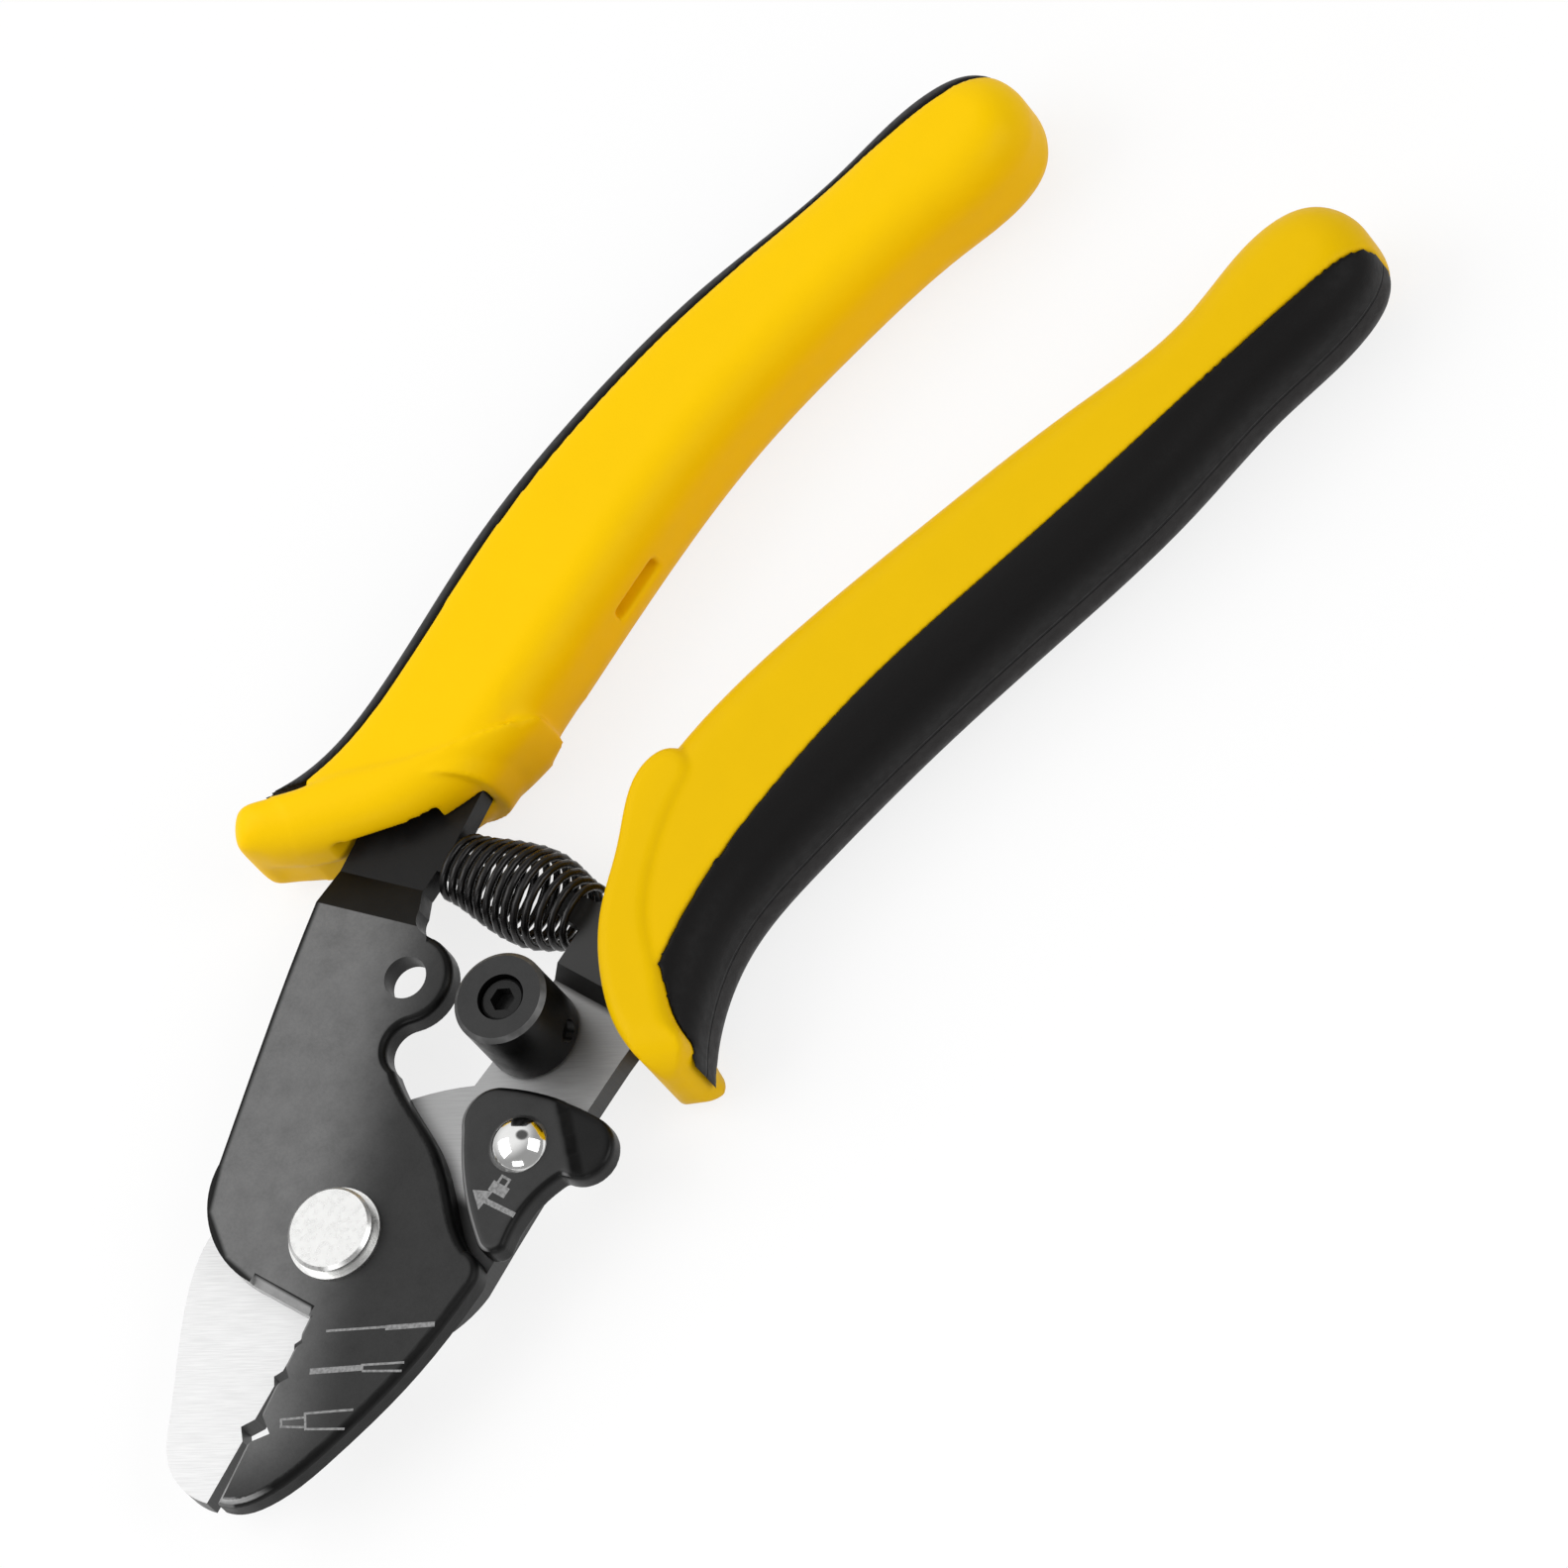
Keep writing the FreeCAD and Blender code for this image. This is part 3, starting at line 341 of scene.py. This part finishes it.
def jaw_details(wiring, place, upright, tone):
    """Painted light on the face's upper side, painted shade on the outer rim, the tang and the tip, ground
    bevel, step at the root, painted glint on the tip's edge.
    """
    # Painted light: the flat face is lighter towards its upper side, short of the tang.
    painted_lit_face = wiring.step(wiring.along(place, (0, 0), (-0.335, 0.81, 0)), -0.0055, 0.006)
    before_tang = wiring.step(wiring.along(place, (31.6, 18.2), (0.975, 0.223, 0)), 0.0, 0.0003, 1.0, 0.0)
    flat = wiring.step(wiring.maths("ABSOLUTE", upright), 0.96, 0.998)
    tone = wiring.mix(wiring.both(painted_lit_face, before_tang, flat), tone, grey(0.14))
    # Painted shade: a near-black band just inside the outer rim.
    inside = 1.0
    for first, last in zip(JAW_OUTER, JAW_OUTER[1:]):
        inwards = (first[1] - last[1], last[0] - first[0], 0)
        inside = wiring.maths("MINIMUM", inside, wiring.along(place, first, inwards))
    rim = wiring.both(wiring.step(inside, 0.0001, 0.0007, 1.0, 0.0),
                      wiring.step(wiring.along(place, (0, -2.6), (0, 1, 0)), 0.0, 0.0003))
    tone = wiring.mix(rim, tone, grey(0.004))
    # Painted shade: darker towards the tip and past the tang.
    shade = wiring.step(wiring.along(place, (-19, -9), (-0.9, -0.43, 0)), 0.0, 0.009, 1.0, 0.25)
    shade = wiring.maths("MULTIPLY", shade, wiring.step(before_tang, 0.0, 1.0, 0.35, 1.0))
    tone = wiring.times(tone, shade)
    from_edge = wiring.maths("ABSOLUTE", wiring.along(place, CUTTING_EDGE, (0.148, -0.989, 0)))
    beyond_root = wiring.along(place, CUTTING_EDGE, (-1, 0, 0))
    slanted = wiring.step(upright, 0.985, 0.995, 1.0, 0.0)
    bevel = wiring.both(slanted, wiring.step(upright, 0.1, 0.3),
                        wiring.step(from_edge, 0.0016, 0.002, 1.0, 0.0),
                        wiring.step(beyond_root, 0.0, 0.0004))
    tone = wiring.mix(bevel, tone, grey(0.13))
    near_root = wiring.step(wiring.maths("ABSOLUTE", beyond_root), 0.0006, 0.001, 1.0, 0.0)
    in_step = wiring.both(near_root, slanted,
                          wiring.step(wiring.along(place, (0, -2.4), (0, 1, 0)), 0.0, 0.0003))
    tone = wiring.mix(in_step, tone, grey(0.3))
    # Painted glint: a light tone on the rounded edge at the tip.
    glint_edge = wiring.both(wiring.step(upright, 0.55, 0.75), wiring.step(upright, 0.93, 0.98, 1.0, 0.0))
    at_tip = wiring.step(wiring.along(place, (-27.5, -9.5), (-0.97, -0.26, 0)), -0.001, 0.0015)
    return wiring.mix(wiring.both(glint_edge, at_tip), tone, grey(0.3))


CREASE, CREASE_WAY = (18.9, -19.07), (0.739, -0.673, 0.0)


def lever_details(wiring, place, upright, tone):
    """Painted highlight along the lever's rounded inner rim, and painted shade on the tab past its crease."""
    # Painted highlight: a light band on the rounded rim of the inner side.
    inner = wiring.towards(wiring.node("ShaderNodeTexCoord", output="Normal"), (-0.62, 0.78, 0.0))
    rounded = wiring.both(wiring.step(upright, 0.5, 0.7), wiring.step(upright, 0.94, 0.99, 1.0, 0.0))
    tone = wiring.mix(wiring.both(rounded, wiring.step(inner, 0.1, 0.35)), tone, grey(0.16))
    # Painted shade: the tab past the crease is darker.
    past_crease = wiring.along(place, CREASE, CREASE_WAY)
    return wiring.mix(wiring.step(past_crease, -0.0008, 0.0006), tone, grey(0.006))


jaw_black = oxide("jaw_black_oxide", 0.026, 0.006, 0.003, 0.8, extra=jaw_details)
lever_black = oxide("lever_black_oxide", 0.034, 0.005, 0.004, 0.5, 0.36, extra=lever_details)
stop_black = oxide("stop_black_oxide", 0.034, 0.002, 0.14, 0.5, 0.36)
screw_black = oxide("screw_black_oxide", 0.014, 0.006, 0.05, 0.3, 0.3)
print("oxide finishes made")

# %% [markdown]
# ## Ground steel
# The lower jaw is bright on its flat faces, where very fine lines run across the blade as grinding leaves
# them. Its sides, its joggle and its tang are black. So one material holds both, and picks by where the
# surface faces and where it lies. Two places on the flat face are dark as well: the heel below the pivot,
# which is black, and the strip beside the lever, which is painted shadow. There the jaw above leaves more of
# it open than on the real tool, and the painted shadow makes that less plain. The metal is greyer beside the
# stop.

# %% Ground steel of the lower jaw
ground, wiring, place, shader = new_material("ground_steel", Specular_IOR_Level=0.5)
across = wiring.maths("MULTIPLY", wiring.along(place, (0, 0), (0.88, 0.47, 0)), 7000.0)
down = wiring.maths("MULTIPLY", wiring.along(place, (0, 0), (0.47, -0.88, 0)), 240.0)
lines = wiring.noise(wiring.node("ShaderNodeCombineXYZ", {"X": across, "Y": down}), 1.0, 3.0, 0.6)
level = wiring.step(wiring.maths("ABSOLUTE", wiring.upright()), 0.9, 0.985)
before_bend = wiring.step(wiring.along(place, (34.6, 0), (1, 0, 0)), 0.0, 0.001, 1.0, 0.0)
heel = wiring.both(wiring.step(wiring.along(place, (-8, 0), (1, 0, 0)), 0.0, 0.001),
                   wiring.step(wiring.along(place, (0, -15.6), (0, -1, 0)), 0.0, 0.0004))
# Painted shadow: the strip beside the lever is dark.
lever_shadow_strip = wiring.both(wiring.step(wiring.along(place, (9.4, 0), (1, 0, 0)), 0.0, 0.0018, 1.0, 0.0),
                       wiring.step(wiring.along(place, (0, -6.5), (0, -1, 0)), 0.0, 0.001),
                       wiring.step(wiring.along(place, (1, 0), (1, 0, 0)), 0.0, 0.001))
dark = wiring.maths("MAXIMUM", heel, lever_shadow_strip)
bright = wiring.both(level, before_bend, wiring.maths("SUBTRACT", 1.0, dark))
far_half = wiring.step(wiring.along(place, (2, 0), (1, 0, 0)), 0.0, 0.018)
steel = wiring.mix(far_half, grey(0.72), grey(0.36))
steel = wiring.times(steel, wiring.step(lines, 0.3, 0.7, 0.9, 1.04))
colour = wiring.mix(bright, grey(0.016), steel)
relief = wiring.node("ShaderNodeBump", {"Strength": 0.4, "Distance": 0.000008, "Height": lines})
feed(wiring, shader, Base_Color=colour, Normal=relief,
     Roughness=wiring.step(lines, 0.2, 0.8, 0.34, 0.46),
     Metallic=wiring.maths("MULTIPLY", bright, 0.7))
print("ground steel made")

# %% [markdown]
# ## Polished and plated steel
# The pivot's head, its washer and the lever's rivet are polished: smooth metal with a faint cloudiness, in
# the tone and in the gloss. The nut and the lever's washer are out of the photo's sight and get a zinc
# plate, which is blue-grey and less smooth.

# %% Polished and plated steel


def bright_metal(name, tone, rough, clouds):
    """Bare metal: its tone, its roughness and how fine its clouds are."""
    material, wiring, place, shader = new_material(name, Metallic=1.0)
    tint = wiring.times(tone, use(wiring, mottle_group, "Shade", Place=place, Scale=clouds, Contrast=0.15))
    roughness = wiring.step(wiring.noise(place, clouds * 2.0), 0.3, 0.7, rough * 0.8, rough * 1.2)
    grain = use(wiring, grain_group, "Normal", Place=place, Scale=3000.0, Depth=0.0000012)
    feed(wiring, shader, Base_Color=tint, Roughness=roughness, Normal=grain)
    return material


pivot_polish = bright_metal("polished_pivot", (0.74, 0.74, 0.73), 0.3, 700.0)
rivet_polish = bright_metal("polished_rivet", (0.86, 0.86, 0.85), 0.09, 500.0)
zinc = bright_metal("zinc_plate", (0.6, 0.62, 0.64), 0.34, 900.0)
print("bright metals made")

# %% [markdown]
# ## Yellow plastic and soft black pads
# The grips are a hard satin plastic with a rubbery pad moulded onto the outer side. The yellow is painted
# deeper on its sides and darker on the lower grip, as painted shade. A mould leaves a fine parting line where
# its
# halves met, here halfway up the pad: a thin groove in the bump, with a different tone above and below. The
# pad also shows a small raised crescent.

# %% Grip materials
yellow, wiring, place, shader = new_material("yellow_plastic", Specular_IOR_Level=0.06)
shaded_yellow, lit_yellow = (0.86, 0.5, 0.0, 1.0), (0.92, 0.57, 0.0, 1.0)
# Painted shade: the sides are a deeper yellow than the tops.
colour = wiring.mix(wiring.step(wiring.upright(), -0.1, 0.95), shaded_yellow, lit_yellow)
# Painted shade: the lower grip is darker.
lower_grip_shade = wiring.along(place, (0, 4), (0, 1, 0))
colour = wiring.times(colour, wiring.step(lower_grip_shade, -0.012, 0.008, 0.84, 1.0))
colour = wiring.times(colour, use(wiring, mottle_group, "Shade", Place=place, Scale=60.0, Contrast=0.08))
grain = use(wiring, grain_group, "Normal", Place=place, Scale=3800.0, Depth=0.00001)
feed(wiring, shader, Base_Color=colour, Normal=grain,
     Roughness=wiring.step(wiring.noise(place, 700.0), 0.3, 0.7, 0.4, 0.5))

MOULD_MARK = (133.9, -41.0)
soft, wiring, place, shader = new_material("soft_black_pad", Specular_IOR_Level=0.13)
height = wiring.along(place, (0, 0, 0), (0, 0, 1))
seam = wiring.step(wiring.maths("ABSOLUTE", height), 0.0001, 0.00028, 1.0, 0.0)
below, above = (0.012, 0.0105, 0.0105, 1.0), (0.005, 0.0045, 0.0045, 1.0)
tone = wiring.mix(wiring.step(height, -0.001, 0.0008), below, above)
tone = wiring.mix(seam, tone, grey(0.0015))
tone = wiring.times(tone, use(wiring, mottle_group, "Shade", Place=place, Scale=150.0, Contrast=0.25))
from_mark = wiring.node("ShaderNodeVectorMath", {0: place, 1: at(*MOULD_MARK, 4.6)},
                        output="Value", operation="DISTANCE")
from_ring = wiring.maths("ABSOLUTE", wiring.maths("SUBTRACT", from_mark, 0.0007))
ring = wiring.step(from_ring, 0.0001, 0.0002, 1.0, 0.0)
crescent = wiring.both(ring, wiring.step(wiring.along(place, MOULD_MARK, (0.55, 0.8, 0)), 0.0, 0.0004))
tone = wiring.mix(crescent, tone, grey(0.05))
raised = wiring.maths("ADD", wiring.maths("MULTIPLY", wiring.noise(place, 4200.0, 2.0, 0.6), 0.12), crescent)
relief = wiring.node("ShaderNodeBump", {
    "Strength": 1.0, "Distance": 0.00015, "Height": wiring.maths("SUBTRACT", raised, seam)})
feed(wiring, shader, Base_Color=tone, Normal=relief,
     Roughness=wiring.step(wiring.noise(place, 900.0), 0.3, 0.7, 0.46, 0.56))
print("grip finishes made")

# %% [markdown]
# ## Spring wire and print
# The return spring is oiled black wire, glossier than the plates, so that each turn shows a thin glint. The
# marks on the jaw and the lever are a thin light-grey print.

# %% Wire and print
wire_black, wiring, place, shader = new_material("oiled_black_wire", Metallic=0.6, Specular_IOR_Level=0.6)
shade = use(wiring, mottle_group, "Shade", Place=place, Scale=400.0, Contrast=0.5)
tone = wiring.times((0.011, 0.01, 0.01), shade)
drawn = use(wiring, grain_group, "Normal", Place=place, Scale=3000.0, Depth=0.000008)
feed(wiring, shader, Base_Color=tone, Normal=drawn,
     Roughness=wiring.step(wiring.noise(place, 800.0), 0.3, 0.7, 0.2, 0.34))

print_grey, wiring, place, shader = new_material("printed_grey", Specular_IOR_Level=0.3)
patch = wiring.step(wiring.noise(place, 2600.0, 3.0), 0.3, 0.65)
tone = wiring.mix(patch, grey(0.16), grey(0.27))
feed(wiring, shader, Base_Color=tone, Roughness=wiring.step(patch, 0.0, 1.0, 0.6, 0.5))
print("wire and print made")

# %% [markdown]
# ## Finishes on the CAD nodes
# The plates, the stop and the fasteners have the right shape already. They keep their meshes, and only their
# material slots change.

# %% Give the CAD nodes their finishes
CAD_FINISHES = {
    "upper_jaw": jaw_black, "lower_jaw": ground, "pivot_bolt": pivot_polish, "pivot_washer": pivot_polish,
    "pivot_nut": zinc, "lock_lever": lever_black, "lock_rivet": rivet_polish, "lock_washer": zinc,
    "stop_sleeve": stop_black, "stop_screw": screw_black, "stop_set_screw": screw_black,
}
for node, material in CAD_FINISHES.items():
    mesh = frame["nodes"][node].data
    mesh.materials.clear()
    mesh.materials.append(material)
print("finished", len(CAD_FINISHES), "CAD nodes")

# %% [markdown]
# ## Grips
# A moulded grip has no sharp edge anywhere: even the step from the finger guard to the grip is a small soft
# fillet. Bevelling a mesh that came from CAD is hard, because its triangles are long and thin. Remeshing a
# copy into small even squares and then smoothing it a little rounds every edge alike, as a polished mould
# does. The pads get the same pass. The upper guard's tip and its lobe are rounder still, so they are
# smoothed once more by themselves.

# %% Mould the grips and pads from copies


def softened(node, voxel, rounds, factor=0.5):
    """Copy of a CAD node in small even faces, with its edges rounded by smoothing."""
    piece = frame["nodes"][node].copy()
    piece.data = piece.data.copy()
    piece.parent = None
    bpy.context.scene.collection.objects.link(piece)
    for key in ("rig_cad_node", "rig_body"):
        del piece[key]
    take(piece)
    bpy.ops.object.mode_set(mode="EDIT")
    bpy.ops.mesh.select_all(action="SELECT")
    bpy.ops.mesh.remove_doubles(threshold=0.000002)
    bpy.ops.object.mode_set(mode="OBJECT")
    apply(piece, "REMESH", mode="VOXEL", voxel_size=voxel)
    apply(piece, "SMOOTH", factor=factor, iterations=rounds)
    take(piece)
    bpy.ops.object.shade_smooth()
    return piece


def smooth_around(piece, point, radius, rounds):
    """Smooth only the part of a mesh within a radius of a point of the drawing."""
    for vertex in piece.data.vertices:
        vertex.select = (vertex.co.xy - at(*point).xy).length < radius * MM
    take(piece)
    bpy.context.scene.tool_settings.mesh_select_mode = (True, False, False)
    bpy.ops.object.mode_set(mode="EDIT")
    bpy.ops.mesh.vertices_smooth(factor=0.5, repeat=rounds)
    bpy.ops.object.mode_set(mode="OBJECT")


for side in ("upper", "lower"):
    for part, material, slot in (("core", yellow, "yellow_plastic"), ("pad", soft, "soft_black")):
        node = f"{side}_grip_{part}"
        piece = softened(node, 0.0003, 5)
        if node == "upper_grip_core":
            smooth_around(piece, (60.5, 14.5), 4.0, 40)
            smooth_around(piece, (32.5, 34.5), 4.5, 40)
        dress(piece, f"{side}_{part}_moulded", side, material)
        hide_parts(node)

# %% [markdown]
# ## Lever
# The lever's upper rim is well rounded, and its thumb tab lies a little lower past a soft crease. A remeshed
# copy of the CAD node gets both: smoothing rounds the rims, and the tab's upper face is selected by its place
# and moved down with proportional editing, which makes the soft crease.

# %% Form the lever
lever = softened("lock_lever", 0.00016, 18)
for point in lever.data.vertices:
    past = (point.co - at(*CREASE)).dot(Vector(CREASE_WAY)) > 0.0012
    point.select = past and point.co.z > at(0, 0, 2.2).z
take(lever)
bpy.context.scene.tool_settings.mesh_select_mode = (True, False, False)
bpy.ops.object.mode_set(mode="EDIT")
bpy.ops.transform.translate(value=(0.0, 0.0, -0.00045), use_proportional_edit=True,
                            proportional_edit_falloff="SMOOTH", proportional_size=0.0016)
bpy.ops.object.mode_set(mode="OBJECT")
dress(lever, "lock_lever_formed", "lever", lever_black)
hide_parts("lock_lever")

# %% [markdown]
# ## Return spring
# The spring is one wire wound into a barrel: wider at the middle than at the ends. A screw modifier can't
# change its radius along the way, so the wire is a curve through points on that barrel with a round bevel,
# and converting it gives a mesh with closed ends. It spans the two tangs, so it follows the lower jaw at one
# end and the upper jaw at the other, and is squeezed between them.

# %% Wind the spring
WIRE_R, END_R, MIDDLE_R, TURNS, SEAT_GAP = 0.44, 3.5, 5.15, 13, 0.43
spring_foot, spring_head = Vector((42.9, -3.3, 0.0)), Vector((41.1, 15.6, 0.0))


def coil_points(steps_per_turn=20):
    """Points of the barrel coil, in drawing millimetres."""
    axis = (spring_head - spring_foot).normalized()
    first = spring_foot + axis * (SEAT_GAP + WIRE_R)
    run = (spring_head - axis * (SEAT_GAP + WIRE_R)) - first
    up = Vector((0.0, 0.0, 1.0))
    across = axis.cross(up)
    for step in range(TURNS * steps_per_turn + 1):
        share = step / (TURNS * steps_per_turn)
        swell = math.sin(math.pi * share ** 0.8) ** 2.0
        radius = END_R + (MIDDLE_R - END_R) * swell + 0.1 * math.sin(9.0 * share) * swell
        turn = 2.0 * math.pi * TURNS * (share + 0.006 * math.sin(15.0 * share) * swell)
        yield first + run * share + across * (radius * math.cos(turn)) + up * (radius * math.sin(turn))


wire = bpy.data.curves.new("return_wire", "CURVE")
wire.dimensions = "3D"
wire.bevel_depth = WIRE_R * MM
wire.bevel_resolution = 3
wire.use_fill_caps = True
points = [at(*point) for point in coil_points()]
strand = wire.splines.new("POLY")
strand.points.add(len(points) - 1)
for knot, point in zip(strand.points, points):
    knot.co = (*point, 1.0)
spring = bpy.data.objects.new("return_wire", wire)
bpy.context.scene.collection.objects.link(spring)
take(spring)
bpy.ops.object.convert(target="MESH")
spring = bpy.context.view_layer.objects.active
take(spring)
bpy.ops.object.mode_set(mode="EDIT")
bpy.ops.mesh.select_all(action="SELECT")
bpy.ops.mesh.normals_make_consistent(inside=False)
bpy.ops.object.mode_set(mode="OBJECT")
bpy.ops.object.shade_smooth()
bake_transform(spring, "lower", "upper", start=at(42.9, -3.3), end=at(41.1, 15.6))
dress(spring, "return_spring_wound", "lower", wire_black)
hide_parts("return_spring")

# %% [markdown]
# ## Printed marks
# Beside each notch the jaw carries a plain outline of what it strips: a bare fibre, a buffered fibre and a
# jacketed cable, each with its thin end towards the notch. The lever has an arrow and a padlock as a generic
# sign for the lock. A mark is a set of strokes: a plane is added for each stroke, turned along it and set a
# trace higher than the last, so that no two lie in one plane. The joined strokes get a hair's breadth of
# thickness with Solidify.

# %% Print strokes on a face
JAW_FACE, LEVER_FACE, INK, LAYER = 2.83, 3.29, 0.012, 0.002


def stroke(first, last, width, height):
    """One printed stroke between two points of the drawing."""
    start, end = at(*first, height), at(*last, height)
    run = end - start
    turn = math.atan2(run.y, run.x)
    bpy.ops.mesh.primitive_plane_add(size=1.0, location=(start + end) / 2, rotation=(0.0, 0.0, turn))
    plane = bpy.context.active_object
    plane.scale = (run.length + width * MM, width * MM, 1.0)
    settle(plane)
    return plane


def head(corners, height):
    """Filled triangle for an arrow's head."""
    bpy.ops.mesh.primitive_circle_add(vertices=3, fill_type="NGON")
    triangle = bpy.context.active_object
    for vertex, corner in zip(triangle.data.vertices, corners):
        vertex.co = at(*corner, height)
    return triangle


def printed(name, strokes, height, body, corners=None):
    """Mark made of strokes (first point, last point, width), and perhaps an arrow's head."""
    planes = [stroke(first, last, width, height + LAYER * layer)
              for layer, (first, last, width) in enumerate(strokes)]
    if corners:
        planes.append(head(corners, height + 2 * LAYER))
    take(*planes)
    bpy.ops.object.join()
    mark = bpy.context.active_object
    settle(mark)
    apply(mark, "SOLIDIFY", thickness=2 * INK * MM, offset=0.0)
    return dress(mark, name, body, print_grey)


print("stroke tool ready")

# %% Marks on the jaw
printed("bare_fibre_mark", [
    ((-9.25, -5.7), (-5.8, -11.5), 0.27),
    ((-5.8, -11.7), (-3.2, -16.0), 0.56)], JAW_FACE, "upper")
printed("buffered_fibre_mark", [
    ((-13.7, -6.95), (-10.9, -11.6), 0.66),
    ((-10.55, -11.6), (-8.2, -15.6), 0.26),
    ((-11.05, -12.1), (-9.1, -15.9), 0.26)], JAW_FACE, "upper")
printed("jacketed_cable_mark", [
    ((-19.75, -7.0), (-20.4, -7.5), 0.26),
    ((-19.75, -7.0), (-18.3, -9.3), 0.26),
    ((-20.4, -7.5), (-19.2, -9.95), 0.26),
    ((-17.95, -9.05), (-19.35, -10.15), 0.26),
    ((-17.95, -9.05), (-15.15, -13.6), 0.26),
    ((-19.35, -10.15), (-17.35, -14.0), 0.26)], JAW_FACE, "upper")

# %% Marks on the lever
printed("lock_arrow_mark", [((10.95, -17.0), (10.8, -13.2), 0.6)], LEVER_FACE, "lever",
        [(11.15, -11.3), (12.05, -13.5), (9.6, -13.25)])
printed("padlock_mark", [
    ((12.55, -14.45), (12.55, -13.45), 1.2),
    ((13.1, -14.45), (13.95, -14.45), 0.28),
    ((13.95, -14.45), (13.95, -13.4), 0.28),
    ((13.95, -13.4), (13.1, -13.4), 0.28)], LEVER_FACE, "lever")

# %% [markdown]
# ## Floor, light and camera
# The tool lies on a plain white floor. A wide soft lamp on the left and a weaker one on the right keep every
# colour near the value that it was given, and a small low one lights the walls. The sky is a studio room,
# brighter on the far side and with one dark screen, so that polished metal has something to mirror. The
# camera sees it as white. Most of what the camera sees of the floor is a plain white glow, which keeps it
# pale, and the rest is a real surface, which takes the shadow.

# %% Floor
bpy.ops.object.select_all(action="DESELECT")
bpy.ops.mesh.primitive_grid_add(x_subdivisions=4, y_subdivisions=4, size=3.0, location=(0.0, 0.0, -0.00002))
floor = bpy.context.active_object
floor.name = "pale_floor"
settle(floor)
paper, wiring, place, shader = new_material("pale_paper", Roughness=0.9, Specular_IOR_Level=0.1)
tone = wiring.mix(wiring.noise(place, 3.0), grey(0.93), grey(0.95))
feed(wiring, shader, Base_Color=tone)
white = paper.node_tree.nodes.new("ShaderNodeEmission")
share = wiring.maths("MAXIMUM", wiring.node("ShaderNodeLightPath", output="Is Camera Ray"),
                     wiring.node("ShaderNodeLightPath", output="Is Glossy Ray"))
blend = wiring.node("ShaderNodeMixShader", {0: wiring.maths("MULTIPLY", share, 0.8)})
paper.node_tree.links.new(shader.outputs[0], blend.node.inputs[1])
paper.node_tree.links.new(white.outputs[0], blend.node.inputs[2])
paper.node_tree.links.new(blend, paper.node_tree.nodes["Material Output"].inputs["Surface"])
floor.data.materials.append(paper)
print("floor at", round(floor.location.z, 5))

# %% Studio sky
sky = bpy.data.worlds.new("studio")
sky.use_nodes = True
bpy.context.scene.world = sky
wiring = Wiring(sky.node_tree)
backdrop = sky.node_tree.nodes["Background"]
direction = wiring.node("ShaderNodeTexCoord", output="Generated")
far_side = wiring.towards(direction, (0.17, 0.54, 0.82))
room = wiring.mix(wiring.step(far_side, 0.2, 0.9), grey(0.34), grey(0.95))
screen = wiring.towards(direction, (0.52, 0.04, 0.85))
room = wiring.mix(wiring.step(screen, 0.92, 0.97), room, grey(0.1))
seen = wiring.node("ShaderNodeLightPath", output="Is Camera Ray")
wiring.tree.links.new(wiring.mix(seen, room, grey(1.0)), backdrop.inputs["Color"])
backdrop.inputs["Strength"].default_value = 1.0
print("sky made")

# %% Lamps


def soft_lamp(name, place, size, power):
    """Square-edged soft lamp that shines on the middle of the tool."""
    lamp = bpy.data.lights.new(name, "AREA")
    lamp.shape = "RECTANGLE"
    lamp.size, lamp.size_y = size
    lamp.energy = power
    holder = bpy.data.objects.new(name, lamp)
    holder.location = place
    holder.rotation_euler = (-Vector(place)).to_track_quat("-Z", "Y").to_euler()
    bpy.context.scene.collection.objects.link(holder)


soft_lamp("main", (-0.5, 0.5, 0.7), (0.9, 0.7), 4.8)
soft_lamp("right", (0.4, -0.75, 0.55), (0.7, 0.7), 3.6)
soft_lamp("low", (-0.62, -0.3, 0.24), (0.4, 0.2), 0.7)
print("lamps", [lamp.name for lamp in bpy.data.lights])

# %% [markdown]
# The camera looks down at about 57 degrees through a long lens from 1.5 m, which keeps parallel edges nearly
# parallel, as they are in the photo. Its three directions are the picture's right, its up and the way back
# to the camera.

# %% Camera
RIGHT = Vector((0.5453, -0.7549, -0.3644)).normalized()
BACK = Vector((-0.1601, -0.5205, 0.8387)).normalized()
RISE = BACK.cross(RIGHT)
lens = bpy.data.cameras.new("camera")
lens.lens, lens.sensor_width = 327.5, 36.0
lens.clip_start, lens.clip_end = 0.1, 10.0
camera = bpy.data.objects.new("camera", lens)
bpy.context.scene.collection.objects.link(camera)
turn = Matrix((RIGHT, RISE, BACK)).transposed().to_4x4()
camera.matrix_world = Matrix.Translation(at(65.4, -13.6) + BACK * 1.5) @ turn
bpy.context.scene.camera = camera
bpy.context.scene.view_settings.view_transform = "Standard"
print("camera at", [round(v, 3) for v in camera.location])

# %% [markdown]
# Blender adds finish and never size.

# %% The end
bpy.context.view_layer.update()
